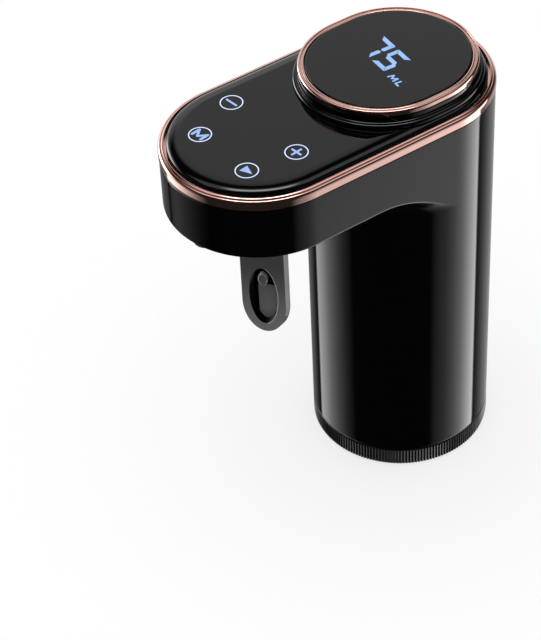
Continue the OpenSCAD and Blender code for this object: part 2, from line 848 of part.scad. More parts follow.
// Driven pump gear on the motor's shaft
module drive_gear() {
  color("#e9e2cf")
    translate([pump_x, pitch_r, chamber_z + seat_gap / 2])
      linear_extrude(gear_h - seat_gap / 2)
        difference() {
          rotate(-90) gear_outline();
          circle(d = shaft_d);
        }
}

// Idler gear in mesh with the driven gear
module idler_gear() {
  color("#e9e2cf")
    translate([pump_x, -pitch_r, chamber_z + seat_gap / 2])
      linear_extrude(gear_h - seat_gap / 2)
        difference() {
          rotate(90 + 180 / gear_teeth) gear_outline();
          circle(r = shaft_d / 2 + run_gap);
        }
}

// Fixed pin of the idler gear
module idler_pin() {
  color("#9a9a9a")
    translate([pump_x, -pitch_r, chamber_z - pin_sunk])
      cylinder(d = shaft_d, h = cover_z + 0.9 - chamber_z + pin_sunk);
}

// Shaft from the motor into the driven gear
module drive_shaft() {
  color("#9a9a9a")
    translate([pump_x, pitch_r, chamber_z + seat_gap])
      cylinder(d = shaft_d, h = motor_z + motor_l / 2 - chamber_z);
}

// Lip seal round the drive shaft
module shaft_seal() {
  color("#303030")
    translate([pump_x, pitch_r, motor_z - seal_h])
      difference() {
        cylinder(r = seal_out, h = seal_h);
        translate([0, 0, -past]) cylinder(r = shaft_d / 2 + run_gap, h = seal_h + 2 * past);
      }
}

// Motor above the pump, with its end cap and terminals
module pump_motor() {
  color("#a8abb0")
    translate([pump_x, motor_y, motor_z])
      difference() {
        union() {
          cylinder(d = motor_d, h = motor_l - motor_cap_h);
          cylinder(d = motor_d - 2 * motor_cap_edge, h = motor_l);
          for (s = [-1, 1])
            translate([s * tag_x - tag_t / 2, -tag_w / 2, motor_l - past])
              cube([tag_t, tag_w, tag_h + past]);
        }
        translate([0, 0, -past]) cylinder(r = shaft_d / 2 + run_gap, h = motor_l / 2 + 1 + past);
      }
}

// Collar that ties the motor to the chassis strut
module motor_clamp() {
  ring_r = motor_d / 2 + seat_gap + clamp_wall;
  color("#55585c")
    translate([0, 0, clamp_z])
      difference() {
        union() {
          translate([pump_x, motor_y, 0]) cylinder(r = ring_r, h = clamp_h);
          translate([strut_x + strut_w, motor_y - 1.1, 0]) cube([pump_x - strut_x - strut_w, 2.2, clamp_h]);
        }
        translate([pump_x, motor_y, -past]) cylinder(r = motor_d / 2 + seat_gap, h = clamp_h + 2 * past);
      }
}

// Hose barb that hangs from the socket's top into the neck
module inlet_barb() {
  barb_low = neck_depth + 0.3;
  color("#d8d4c8")
    difference() {
      union() {
        translate([0, 0, barb_low + 1.2]) cylinder(d = inlet_d, h = pump_z - barb_low - 1.2);
        translate([0, 0, barb_low]) cylinder(d1 = inlet_d - 1.4, d2 = inlet_d, h = 1.2);
        translate([0, 0, chassis_z]) cylinder(r = inlet_d / 2 + 1.2, h = chassis_t);
      }
      translate([0, 0, barb_low - past]) cylinder(d = port_d, h = pump_z - barb_low + 2 * past);
    }
}

// Sealing ring between the inlet barb and the pump
module inlet_seal() {
  color("#303030")
    translate([0, 0, pump_z + seal_r]) seal_ring(inlet_d / 2 - 0.45 - seal_r);
}

// Elbow from the pump's side to the outlet tube
module outlet_elbow() {
  color("#d8d4c8")
    difference() {
      union() {
        rod_x(pump_side, pump_side + elbow_flange_t, elbow_flange_r, 0, port_z);
        rising_elbow(elbow_r, pump_side, port_z, elbow_top);
        translate([tube_x, 0, elbow_top]) cylinder(r = barb_r, h = barb_l);
      }
      rising_elbow(port_d / 2 - 0.4, pump_side - past, port_z, elbow_top + barb_l + past);
    }
}

// Soft tube from the elbow up the tower and through the head to the spout
module outlet_tube() {
  color("#e6e6e0")
    translate([tube_x, 0, 0]) rotate([0, 0, spout_turn])
      difference() {
        climbing_rod(tube_r, elbow_top + run_gap, tube_z, tube_bend, spout_run - spout_body_r - seat_gap);
        climbing_rod(tube_bore / 2, elbow_top - past, tube_z, tube_bend, spout_run);
      }
}

// Spout with its flange inside the head, its barrel through the floor and its side barb
module spout_nozzle() {
  color("#1a1a1b")
    translate([0, spout_y, 0])
      difference() {
        union() {
          translate([0, 0, spout_tip]) cylinder(d = spout_d, h = flange_z - spout_tip);
          translate([0, 0, flange_z]) cylinder(r = spout_flange_r, h = flange_t);
          translate([0, 0, flange_z]) cylinder(r = spout_body_r, h = spout_top - flange_z);
          translate([0, 0, tube_z]) rotate([0, 0, spout_turn]) rotate([-90, 0, 0])
            cylinder(r = barb_r, h = spout_body_r + barb_l);
        }
        translate([0, 0, spout_tip - past]) cylinder(r = spout_bore_r, h = tube_z - spout_tip + past);
        translate([0, 0, spout_tip - past]) cylinder(r = insert_r + run_gap, h = insert_t + past);
        translate([0, 0, tube_z]) rotate([0, 0, spout_turn]) rotate([-90, 0, 0])
          cylinder(r = barb_r - 0.5, h = spout_body_r + barb_l + past);
      }
}

// Sealing ring under the spout's flange
module spout_seal() {
  color("#303030")
    translate([0, spout_y, floor_z + seal_r]) seal_ring(seal_ring_r);
}

// Nut that holds the spout against the floor of the head
module spout_nut() {
  color("#1a1a1b")
    translate([0, spout_y, tower_h - nut_t])
      difference() {
        cylinder(r = spout_nut_r, h = nut_t);
        translate([0, 0, -past]) cylinder(r = spout_d / 2 + run_gap, h = nut_t + 2 * past);
      }
}

// Perforated disc in the spout's mouth that mixes in air
module aerator_insert() {
  color("#b8b8ba")
    translate([0, spout_y, spout_tip])
      difference() {
        cylinder(r = insert_r, h = insert_t);
        for (i = [0 : insert_holes - 1])
          rotate([0, 0, i * 360 / insert_holes])
            translate([insert_r * 0.55, 0, -past]) cylinder(r = insert_hole_r, h = insert_t + 2 * past);
      }
}

// Turns what belongs to the paddle about the middle of its pin
module at_paddle() {
  translate([0, pin_y, 0]) rotate([0, 0, paddle_turn]) translate([0, -pin_y, 0]) children();
}

// Upright oval block from y0 to y1, about the middle of the pocket and grown by a wall
module pocket_block(y0, y1, grow) {
  half_w = pocket_w / 2 + grow;
  half_h = pocket_h / 2 + grow;
  translate([0, y1, pocket_z])
    rotate([90, 0, 0]) linear_extrude(y1 - y0) scale([1, half_h / half_w]) circle(half_w);
}

// Tongue that is pushed to pour, with its pocket, its hub and the tail that works the switch
module dispense_paddle() {
  half = paddle_w / 2;
  color("#3a3b3d") at_paddle()
    difference() {
      union() {
        translate([0, paddle_front + paddle_t, 0]) rotate([90, 0, 0])
          linear_extrude(paddle_t) {
            translate([0, paddle_z + paddle_end]) scale([1, paddle_end / half]) circle(half);
            translate([-half, paddle_z + paddle_end]) square([paddle_w, pin_z - paddle_z - paddle_end]);
          }
        pocket_block(paddle_front + paddle_t / 2, paddle_front + pocket_depth + pocket_wall, pocket_wall);
        rod_x(-half, spring_x - free_gap, hub_r, pin_y, pin_z);
        translate([-tail_x - tail_w / 2, pin_y, pin_z + hub_r - tail_t])
          cube([tail_w, tail_l + tail_t, tail_t]);
        translate([-tail_x - tail_w / 2, tail_y - tail_t, pin_z])
          cube([tail_w, 2 * tail_t, tail_top - pin_z]);
      }
      pocket_block(paddle_front - past, paddle_front + pocket_depth, 0);
      rod_x(-half - past, half + past, pin_d / 2 + run_gap, pin_y, pin_z);
      translate([spring_x - free_gap, paddle_front - past, tower_h + floor_t / 2])
        cube([spring_w + free_gap + past, paddle_t + 2 * past, pin_z]);
    }
}

// Pin on which the paddle swings
module paddle_pin() {
  color("#9a9a9a") at_paddle()
    rod_x(-ear_x - ear_t, ear_x + ear_t, pin_d / 2, pin_y, pin_z);
}

// Torsion spring round the pin, with one leg on the floor and one standing up
module paddle_spring() {
  coil_r = pin_d / 2 + run_gap + spring_t;
  color("#9a9a9a") at_paddle()
    difference() {
      union() {
        rod_x(spring_x, spring_x + spring_w - free_gap, coil_r, pin_y, pin_z);
        translate([spring_x, pin_y, pin_z - coil_r]) cube([spring_t, coil_r + 3, spring_t]);
        translate([spring_x + spring_w - free_gap - spring_t, pin_y + coil_r - spring_t, pin_z])
          cube([spring_t, spring_t, coil_r + 1]);
      }
      rod_x(spring_x - past, spring_x + spring_w + past, pin_d / 2 + run_gap, pin_y, pin_z);
    }
}

// Switch under the control board, above the paddle's tail
module micro_switch() {
  color("#202020") at_paddle()
    difference() {
      translate([-tail_x - switch_w / 2, tail_y - switch_w / 2, board_z - switch_h])
        cube([switch_w, switch_w, switch_h]);
      translate([-tail_x, tail_y, board_z - switch_h - past])
        cylinder(r = plunger_d / 2 + run_gap, h = past + plunger_in + plunger_travel);
    }
}

// Plunger of the switch
module switch_plunger() {
  color("#c04030") at_paddle()
    translate([-tail_x, tail_y, plunger_z])
      cylinder(d = plunger_d, h = board_z - switch_h + plunger_in - plunger_z);
}

// Sleeve that stands on a neck, with its closed top and the lip under the grip ring
module neck_socket() {
  flange_h = 4;
  color("#17181a")
    difference() {
      union() {
        cylinder(r = sleeve_r, h = chassis_z);
        cylinder(r = sleeve_r + lip_w, h = lip_h);
        translate([0, 0, chassis_z - flange_h]) cylinder(r = tower_ri - seat_gap, h = flange_h);
      }
      translate([0, 0, -past]) cylinder(d = neck_d, h = neck_depth + past);
      translate([0, 0, neck_depth - past])
        cylinder(d = gasket_d + 2 * seat_gap, h = gasket_t + screw_sunk + past);
      translate([0, 0, neck_depth - past]) cylinder(r = inlet_d / 2 + run_gap, h = socket_top + 2 * past);
      translate([vent_x, vent_y, neck_depth - past]) cylinder(d = vent_d, h = socket_top + 2 * past);
      at_chassis_screws() translate([0, 0, neck_depth - past]) {
        cylinder(d = screw_head_d + 2 * seat_gap, h = past + screw_sunk + screw_head_h);
        cylinder(d = chassis_screw_d + 2 * seat_gap, h = socket_top + 2 * past);
      }
    }
}

// Soft washer that seals the neck's mouth
module neck_gasket() {
  color("#d8d8d4")
    translate([0, 0, neck_depth + screw_sunk])
      difference() {
        cylinder(d = gasket_d, h = gasket_t);
        translate([0, 0, -past]) cylinder(r = inlet_d / 2 + 1, h = gasket_t + 2 * past);
        translate([vent_x, vent_y, -past]) cylinder(d = vent_d, h = gasket_t + 2 * past);
      }
}

// One-way vent that lets air in below the socket
module vent_valve() {
  stem_z = neck_depth + screw_sunk + gasket_t;
  color("#c86a6a")
    translate([vent_x, vent_y, 0]) {
      translate([0, 0, stem_z]) cylinder(r = vent_d / 2 - run_gap, h = chassis_z - stem_z);
      translate([0, 0, chassis_z]) cylinder(r = vent_d / 2 + 0.7, h = 1.2);
    }
}

// Knurled ring that turns on the socket, flush with the tower
module grip_ring() {
  ring_z = 0.2;
  color("#141415")
    difference() {
      translate([0, 0, ring_z])
        linear_extrude(grip_h - ring_z)
          polygon([for (i = [0 : 2 * grip_ribs - 1])
            (tower_r - (i % 2) * grip_groove) * [cos(i * 180 / grip_ribs), sin(i * 180 / grip_ribs)]]);
      translate([0, 0, -past]) cylinder(r = sleeve_r + run_gap, h = grip_h + 2 * past);
      translate([0, 0, -past]) cylinder(r = sleeve_r + lip_w + free_gap, h = lip_h + free_gap + past);
    }
}

tower_shell();
head_shell();
head_trim_ring();
touch_panel();
panel_gasket();
display_base();
display_trim_ring();
display_lens();
display_module();
display_pins();
control_board();
board_screws();
touch_pads();
inner_chassis();
chassis_screws();
battery_cell();
battery_contacts();
charge_board();
usb_socket();
power_leads();
pump_body();
pump_gasket();
pump_cover();
pump_screws();
drive_gear();
idler_gear();
idler_pin();
drive_shaft();
shaft_seal();
pump_motor();
motor_clamp();
inlet_barb();
inlet_seal();
outlet_elbow();
outlet_tube();
spout_nozzle();
spout_seal();
spout_nut();
aerator_insert();
dispense_paddle();
paddle_pin();
paddle_spring();
micro_switch();
switch_plunger();
neck_socket();
neck_gasket();
vent_valve();
grip_ring();
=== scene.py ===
# %% [markdown]
# # Electric wine aerator: dressing the CAD part
# The CAD model already gives every piece its place, so this lesson only makes the looks.
# All pieces share one frame in metres: front is -Y, up is +Z, and the tower stands on the origin.
# The box of the bare CAD model is kept first, because the dressed model has to stay inside it.

# %% Load the frame
import json
import math

import bmesh
import bpy
import numpy as np
from mathutils import Matrix, Vector


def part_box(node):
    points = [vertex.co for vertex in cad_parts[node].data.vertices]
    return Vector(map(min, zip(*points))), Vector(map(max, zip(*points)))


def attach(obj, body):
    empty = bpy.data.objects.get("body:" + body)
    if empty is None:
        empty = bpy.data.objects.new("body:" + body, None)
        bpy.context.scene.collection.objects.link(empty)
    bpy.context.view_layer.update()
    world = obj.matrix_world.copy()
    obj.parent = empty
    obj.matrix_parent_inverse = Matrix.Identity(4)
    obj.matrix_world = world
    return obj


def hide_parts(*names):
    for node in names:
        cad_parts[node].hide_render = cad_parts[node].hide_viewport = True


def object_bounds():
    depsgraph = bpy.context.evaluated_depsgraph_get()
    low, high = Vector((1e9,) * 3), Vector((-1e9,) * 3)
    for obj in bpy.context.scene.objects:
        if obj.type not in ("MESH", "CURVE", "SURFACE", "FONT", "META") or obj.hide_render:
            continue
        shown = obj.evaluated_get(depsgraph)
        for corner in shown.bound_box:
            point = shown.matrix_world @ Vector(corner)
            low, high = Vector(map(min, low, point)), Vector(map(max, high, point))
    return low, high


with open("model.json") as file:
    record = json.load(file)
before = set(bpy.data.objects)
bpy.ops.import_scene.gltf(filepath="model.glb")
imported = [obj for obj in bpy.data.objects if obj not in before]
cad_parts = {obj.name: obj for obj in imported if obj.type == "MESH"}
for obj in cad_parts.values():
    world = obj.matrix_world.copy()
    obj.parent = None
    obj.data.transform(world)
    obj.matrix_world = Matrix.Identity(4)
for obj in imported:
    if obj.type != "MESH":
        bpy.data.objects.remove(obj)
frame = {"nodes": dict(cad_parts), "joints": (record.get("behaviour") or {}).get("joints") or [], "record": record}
cad_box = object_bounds()
nodes = frame["nodes"]
MM = 0.001
print("CAD nodes:", len(nodes), "box in mm:", [round(v / MM, 2) for corner in cad_box for v in corner])

# %% [markdown]
# ## Camera
# The photograph was taken from above and to the right of the front, with a long lens and a slight roll.
# The view was solved from the outline of the tower and the head, so it is written here as plain angles.

# %% Camera
view_azimuth, view_height, view_roll = math.radians(56.96), math.radians(42.42), math.radians(-3.14)
view_distance, view_lens = 0.56856, 129.03
view_target = Vector((-0.01744, -0.02682, 0.03131))
towards = Vector((math.sin(view_azimuth) * math.cos(view_height),
                  -math.cos(view_azimuth) * math.cos(view_height), math.sin(view_height)))
level = Vector((math.cos(view_azimuth), math.sin(view_azimuth), 0))
right = math.cos(view_roll) * level + math.sin(view_roll) * towards.cross(level)
upward = towards.cross(right)
camera = bpy.data.objects.new("camera", bpy.data.cameras.new("camera"))
bpy.context.scene.collection.objects.link(camera)
camera.data.lens = view_lens
camera.data.clip_start, camera.data.clip_end = 0.01, 20
camera.matrix_world = Matrix.Translation(view_target + view_distance * towards) @ Matrix(
    (right, upward, towards)).transposed().to_4x4()
bpy.context.scene.camera = camera
bpy.context.scene.view_settings.view_transform = "Standard"
print("camera at mm:", [round(v / MM, 1) for v in camera.matrix_world.translation])

# %% [markdown]
# ## A small kit for shader nodes
# Materials are node trees. A tree could be wired socket by socket, but sums read better as sums.
# `Wire` wraps one socket, so that `1 - mask` or `noise * 0.3` adds the Math node by itself.
# `Bench` is the tree on the workbench: its one method adds any other node, settings first, then sockets.


# %% Shader kit
class Wire:
    """One output socket of a node, ready for sums with numbers and other wires."""

    def __init__(self, bench, socket):
        self.bench, self.socket = bench, socket

    def sum(self, operation, a, b):
        return self.bench.node("ShaderNodeMath", {"operation": operation}, {0: a, 1: b})

    def __add__(self, other):
        return self.sum("ADD", self, other)

    def __radd__(self, other):
        return self.sum("ADD", other, self)

    def __sub__(self, other):
        return self.sum("SUBTRACT", self, other)

    def __rsub__(self, other):
        return self.sum("SUBTRACT", other, self)

    def __mul__(self, other):
        return self.sum("MULTIPLY", self, other)

    def __rmul__(self, other):
        return self.sum("MULTIPLY", other, self)

    def __truediv__(self, other):
        return self.sum("DIVIDE", self, other)

    def __rtruediv__(self, other):
        return self.sum("DIVIDE", other, self)


class Bench:
    """A node tree under construction."""

    def __init__(self, tree):
        self.tree = tree
        tree.nodes.clear()

    def node(self, kind, settings=None, sockets=None, out=0):
        made = self.tree.nodes.new(kind)
        for name, value in (settings or {}).items():
            if name == "stops":
                stops = made.color_ramp.elements
                while len(stops) < len(value):
                    stops.new(1)
                for stop, (place, colour) in zip(stops, value):
                    stop.position, stop.color = place, colour
            else:
                setattr(made, name, value)
        for name, value in (sockets or {}).items():
            if isinstance(value, Wire):
                self.tree.links.new(value.socket, made.inputs[name])
            else:
                made.inputs[name].default_value = value
        return Wire(self, made.outputs[out]) if len(made.outputs) else made


def even(value):
    """Neutral colour as linear RGB."""
    return (value, value, value)


def grey(value):
    """Neutral colour for a colour socket."""
    return (*even(value), 1)


print("shader kit ready")

# %% [markdown]
# ## Studio
# Black gloss shows little of its own colour: what is seen on it is the room.
# That room could be built from lamps and cards round the part, but then every view would need new ones.
# The world draws it as a pattern over direction instead, seen by glossy rays alone.
# The camera sees plain white, and diffuse light is even and white, so a colour renders as it is written.
# Directions are split into ahead, towards the camera, aside, to its right, and height.

# %% World directions
world = bpy.data.worlds.new("studio")
bpy.context.scene.world = world
world.use_nodes = True
sky = Bench(world.node_tree)
gaze = sky.node("ShaderNodeTexCoord", None, None, "Generated")
axes = sky.node("ShaderNodeSeparateXYZ", None, {0: gaze}).socket.node.outputs
east, north, height = (Wire(sky, axes[i]) for i in range(3))
facing = math.atan2(towards.y, towards.x)
ahead = east * math.cos(facing) + north * math.sin(facing)
aside = north * math.cos(facing) - east * math.sin(facing)


def rise(value, start, end):
    """Smooth step from 0 at one value to 1 at another."""
    return sky.node("ShaderNodeMapRange", {"interpolation_type": "SMOOTHSTEP"},
                    {0: value, 1: start, 2: end})


def size_of(value):
    """A value without its sign."""
    return sky.node("ShaderNodeMath", {"operation": "ABSOLUTE"}, {0: value})


print("studio faces the camera at degrees from +X:", round(math.degrees(facing), 1))

# %% [markdown]
# In the photograph the tower carries one bright strip at the left with a soft inner edge, a wider grey
# strip at the right with a hard outer edge, and black between. An upright wall mirrors a direction below
# the horizon, so the strips fade out upward. Each stop is an angle from straight ahead, and a glow.

# %% Strips
strip_stops = [(-180, 0.25), (-150, 0.15), (-140, 0.03), (-134, 0), (-131, 1.8), (-117, 1.6), (-107, 1.1),
               (-91, 0.55), (-78, 0.2), (-65, 0), (35, 0), (44, 0.2), (56, 0.38), (68, 0.77), (81, 1.5),
               (95, 2.9), (106, 3.8), (108.5, 0.03), (134, 0.4), (160, 0.5), (180, 0.1)]
strip_peak = 4.0
strip_ramp = [(angle / 360 + 0.5, grey(glow / strip_peak)) for angle, glow in strip_stops]
turn = sky.node("ShaderNodeMath", {"operation": "ARCTAN2"}, {0: aside, 1: ahead}) / (2 * math.pi) + 0.5
strips = sky.node("ShaderNodeValToRGB", {"stops": strip_ramp}, {0: turn})
strips = strips * rise(height, 0.35, -0.45) * rise(height, -0.98, -0.88) * strip_peak
print("strips have", len(strip_stops), "stops")

# %% [markdown]
# The flat tops mirror a pale wall behind the part, and round edges mirror what hangs above and beside it.
# A narrow lamp overhead draws the fine lines on them, and its wide dim halo keeps the metal rings bright
# between the lines. A second lamp stands at the left behind the part, and a dim backdrop behind it.
# A last touch of light lies where the left end of the head would mirror the dark gap beside the strip.

# %% Lamps and walls
wall_glow, backdrop_glow, fill_glow, room_glow = 0.62, 0.8, 0.1, 0.012
lamp_glow, left_glow, halo_glow = 6, 5, 0.9
wall_towards = Vector((-towards.x, -towards.y, towards.z))
wall_cosine = east * wall_towards.x + north * wall_towards.y + height * wall_towards.z
wall = rise(wall_cosine, 0.92, 0.985) * wall_glow
lamp = rise(size_of(ahead), 0.15, 0.05) * rise(size_of(aside), 0.4, 0.24)
lamp_halo = rise(size_of(ahead), 0.3, 0.13) * rise(size_of(aside), 0.85, 0.6)
overhead = (lamp * lamp_glow + lamp_halo * halo_glow) * rise(height, 0.0, 0.2)
backdrop = rise(ahead, -0.7, -0.9) * rise(height, -0.5, -0.25) * rise(height, 0.6, 0.4) * backdrop_glow
left_cosine = ahead * -0.6 + aside * -0.8
left_lamp = rise(left_cosine, 0.94, 0.98) * left_glow + rise(left_cosine, 0.84, 0.95) * halo_glow
left_lamp = left_lamp * rise(height, -0.4, -0.15)
fill_cosine = ahead * -0.56 + aside * -0.52 + height * -0.64
head_fill = rise(fill_cosine, 0.985, 0.997) * rise(height, -0.65, -0.636) * fill_glow
pattern = strips + wall + overhead + backdrop + left_lamp + head_fill + room_glow
mirror_ray = sky.node("ShaderNodeLightPath", None, None, "Is Glossy Ray")
plain = sky.node("ShaderNodeBackground", None, {"Color": grey(1), "Strength": 1})
mirrored = sky.node("ShaderNodeBackground", None, {"Color": grey(1), "Strength": pattern})
shown = sky.node("ShaderNodeMixShader", None, {0: mirror_ray, 1: plain, 2: mirrored})
sky.node("ShaderNodeOutputWorld", None, {"Surface": shown})
print("world pattern has nodes:", len(world.node_tree.nodes))

# %% [markdown]
# The floor is a pale disc under the part. It takes the soft shadow and fades out round it, so that it
# meets the white background without a line. White paper would render grey beside pure white, so camera
# rays see it partly lifted. Glossy rays pass it by, because the strips reach below it.

# %% Floor
floor_radius, floor_drop, fade_from, fade_to, camera_lift = 1.2, 0.0002, 0.03, 0.12, 0.7
disc = bmesh.new()
bmesh.ops.create_circle(disc, cap_ends=True, cap_tris=False, segments=96, radius=floor_radius)
floor_mesh = bpy.data.meshes.new("floor")
disc.to_mesh(floor_mesh)
disc.free()
floor = bpy.data.objects.new("floor", floor_mesh)
floor.location.z = cad_box[0].z - floor_drop
bpy.context.scene.collection.objects.link(floor)
floor.visible_glossy = False
paper = bpy.data.materials.new("pale_paper")
paper.use_nodes = True
bench = Bench(paper.node_tree)
place = bench.node("ShaderNodeTexCoord", None, None, "Object")
reach = bench.node("ShaderNodeVectorMath", {"operation": "LENGTH"}, {0: place}, "Value")
fade = bench.node("ShaderNodeMapRange", {"interpolation_type": "SMOOTHSTEP"},
                  {0: reach, 1: fade_from, 2: fade_to})
seen = bench.node("ShaderNodeLightPath", None, None, "Is Camera Ray")
matt = bench.node("ShaderNodeBsdfDiffuse", None, {"Color": grey(0.97)})
bright = bench.node("ShaderNodeEmission", None, {"Color": grey(1), "Strength": 1})
clear = bench.node("ShaderNodeBsdfTransparent", None, {"Color": grey(1)})
lifted = bench.node("ShaderNodeMixShader", None, {0: seen * camera_lift, 1: matt, 2: bright})
faded = bench.node("ShaderNodeMixShader", None, {0: fade, 1: lifted, 2: clear})
bench.node("ShaderNodeOutputMaterial", None, {"Surface": faded})
floor_mesh.materials.append(paper)
print("floor at mm:", round(floor.location.z / MM, 2))

# %% [markdown]
# On the photograph's head the left strip is nearly gone, though the tower below carries it in full.
# A studio gets that with a flag: a dark card close to the part, between it and the lamp.
# The card stands before the head, and only mirror rays see it. It grows thinner to the right, so that the
# head's wall fades slowly to black. Its upper edge leaves the metal ring its own streak.

# %% Flag
flag_y = -64
flag_corners = [(-19, 56), (14, 56), (14, 96), (7, 98.1), (2, 98.4), (-3, 97.6), (-14, 92.4), (-19, 88.3)]
thin_from, thin_to, thin_left, thin_right = -14, 8, 0.03, 0.33
flag_mesh = bpy.data.meshes.new("flag")
flag_points = [Vector((x, flag_y, z)) * MM for x, z in flag_corners]
flag_mesh.from_pydata(flag_points, [], [range(len(flag_points))])
flag = bpy.data.objects.new("flag", flag_mesh)
bpy.context.scene.collection.objects.link(flag)
flag.visible_camera = flag.visible_diffuse = flag.visible_shadow = flag.visible_transmission = False
felt = bpy.data.materials.new("black_felt")
felt.use_nodes = True
bench = Bench(felt.node_tree)
felt_dark = bench.node("ShaderNodeBsdfDiffuse", None, {"Color": grey(0)})
felt_clear = bench.node("ShaderNodeBsdfTransparent", None, {"Color": grey(1)})
card_place = bench.node("ShaderNodeTexCoord", None, None, "Object")
card_x = bench.node("ShaderNodeSeparateXYZ", None, {0: card_place}, 0)
felt_thin = bench.node("ShaderNodeMapRange", None,
                       {0: card_x, 1: thin_from * MM, 2: thin_to * MM, 3: thin_left, 4: thin_right})
card = bench.node("ShaderNodeMixShader", None, {0: felt_thin, 1: felt_dark, 2: felt_clear})
bench.node("ShaderNodeOutputMaterial", None, {"Surface": card})
flag_mesh.materials.append(felt)
print("flag stands at y in mm:", flag_y)

# %% [markdown]
# ## Finishes
# Most pieces are moulded: their colour is even, but the gloss wanders a little and the skin is faintly
# uneven. One recipe with a few numbers gives all of these. A noise texture in the piece's own coordinates
# drives the colour, the roughness and a bump, so that the grain keeps its size on pieces of any size.


# %% Moulded finish
def moulded(name, dark, light, gloss, grain=0.6, bump=0.02, metallic=0.0, shine=0.5, stretch=(1, 1, 1),
            paler_end=None):
    """Colours as linear RGB, gloss as roughness, grain as the size of its speckles in mm.

    A shine of 0.5 is that of common plastic. A paler end is given as the two heights in mm between which a
    second colour comes in, and that colour.
    """
    gloss_swing, clouds, skin_depth = 0.25, 12, 0.0002
    made = bpy.data.materials.new(name)
    made.use_nodes = True
    bench = Bench(made.node_tree)
    own_place = bench.node("ShaderNodeTexCoord", None, None, "Object")
    place = bench.node("ShaderNodeMapping", None, {"Vector": own_place, "Scale": stretch})
    cloud = bench.node("ShaderNodeTexNoise", None,
                       {"Vector": place, "Scale": 1 / (clouds * grain * MM), "Detail": 3})
    speckle = bench.node("ShaderNodeTexNoise", None,
                         {"Vector": place, "Scale": 1 / (grain * MM), "Detail": 2})
    colour = bench.node("ShaderNodeMix", {"data_type": "RGBA"},
                        {0: cloud, 6: (*dark, 1), 7: (*light, 1)}, 2)
    if paler_end:
        start, end, pale = paler_end
        up = bench.node("ShaderNodeSeparateXYZ", None, {0: own_place}, 2)
        share = bench.node("ShaderNodeMapRange", {"interpolation_type": "SMOOTHSTEP"},
                           {0: up, 1: start * MM, 2: end * MM})
        colour = bench.node("ShaderNodeMix", {"data_type": "RGBA"}, {0: share, 6: colour, 7: (*pale, 1)}, 2)
    rough = gloss * (1 - gloss_swing) + (cloud + speckle) * (gloss * gloss_swing)
    skin = bench.node("ShaderNodeBump", None, {"Strength": bump, "Distance": skin_depth, "Height": speckle})
    sockets = {"Base Color": colour, "Roughness": rough, "Normal": skin, "Metallic": metallic,
               "Specular IOR Level": shine}
    shader = bench.node("ShaderNodeBsdfPrincipled", None, sockets)
    bench.node("ShaderNodeOutputMaterial", None, {"Surface": shader})
    return made


black_gloss = moulded("black_gloss", even(0.0003), even(0.0008), 0.05, 0.5, 0.006)
panel_gloss = moulded("panel_gloss", even(0.0006), (0.0011, 0.0010, 0.0010), 0.035, 0.5, 0.003)
lens_dark = moulded("lens_dark", even(0.0008), (0.0013, 0.0012, 0.0012), 0.03, 0.5, 0.002)
rose_gold = moulded("rose_gold", (0.82, 0.50, 0.43), (0.88, 0.57, 0.50), 0.10, 0.35, 0.01, metallic=1.0)
knurl_black = moulded("knurl_black", even(0.002), even(0.005), 0.08, 0.25, 0.02, shine=0.9)
# Paler grey painted on the paddle's thin right edges and the knob's rim as a highlight.
painted_edge_highlight = moulded("painted_edge_highlight", (0.27, 0.27, 0.273), (0.31, 0.31, 0.313), 0.20, 0.5, 0.02)
# Dull black painted on the pocket's wall and floor as shade.
pocket_painted_shade = moulded("pocket_painted_shade", even(0.0006), even(0.001), 0.5, 0.5, 0.02, shine=0.03)
smoked = moulded("smoked_plastic", (0.038, 0.038, 0.039), (0.048, 0.048, 0.049), 0.20, 0.5, 0.02,
                 paler_end=(70, 50, (0.11, 0.11, 0.112)))
print("visible finishes ready")

# %% [markdown]
# The lit marks are windows in the black print, with small blue lamps below. Their light is a little
# stronger in some places than in others, so the glow comes from a noise of soft patches, not one flat blue.


# %% Lit finish
def tone(red, green, blue):
    """Linear colour of an sRGB colour given from 0 to 255."""
    shares = [level / 255 for level in (red, green, blue)]
    return tuple(v / 12.92 if v < 0.0404 else ((v + 0.055) / 1.055) ** 2.4 for v in shares)


def lit(name, deep, pale, strength=1.0):
    """Glow between two colours in patches of about a millimetre."""
    made = bpy.data.materials.new(name)
    made.use_nodes = True
    bench = Bench(made.node_tree)
    place = bench.node("ShaderNodeTexCoord", None, None, "Object")
    patch = bench.node("ShaderNodeTexNoise", None, {"Vector": place, "Scale": 900, "Detail": 1})
    glow = bench.node("ShaderNodeMix", {"data_type": "RGBA"}, {0: patch, 6: (*deep, 1), 7: (*pale, 1)}, 2)
    shader = bench.node("ShaderNodeBsdfPrincipled", None,
                        {"Base Color": grey(0.02), "Roughness": 0.2 + patch * 0.1, "Emission Color": glow,
                         "Emission Strength": strength})
    bench.node("ShaderNodeOutputMaterial", None, {"Surface": shader})
    return made


lit_signs = lit("lit_signs", tone(136, 176, 248), tone(176, 202, 252))
lit_rings = lit("lit_rings", tone(178, 196, 236), tone(208, 218, 244), 1.5)
lit_numerals = lit("lit_numerals", tone(122, 172, 250), tone(170, 206, 255))
print("lit finishes ready")

# %% [markdown]
# ## Mesh tools
# Gloss shows every facet, so the outer shells are rebuilt here as clean dense meshes.
# `piece` turns lists of points and faces into an object: it welds doubles, turns the faces outward, marks
# hard edges, and lets a Weighted Normal modifier keep the flats flat. Then it sets what the piece rides on.


# %% Piece builder
def skin_mesh(name, points, faces):
    """Mesh in metres from points in mm, welded and turned outward."""
    mesh = bpy.data.meshes.new(name)
    mesh.from_pydata([Vector(p) * MM for p in points], [], faces)
    shape = bmesh.new()
    shape.from_mesh(mesh)
    bmesh.ops.remove_doubles(shape, verts=shape.verts, dist=0.002 * MM)
    bmesh.ops.dissolve_degenerate(shape, edges=shape.edges, dist=0.001 * MM)
    bmesh.ops.recalc_face_normals(shape, faces=shape.faces)
    shape.to_mesh(mesh)
    shape.free()
    return mesh


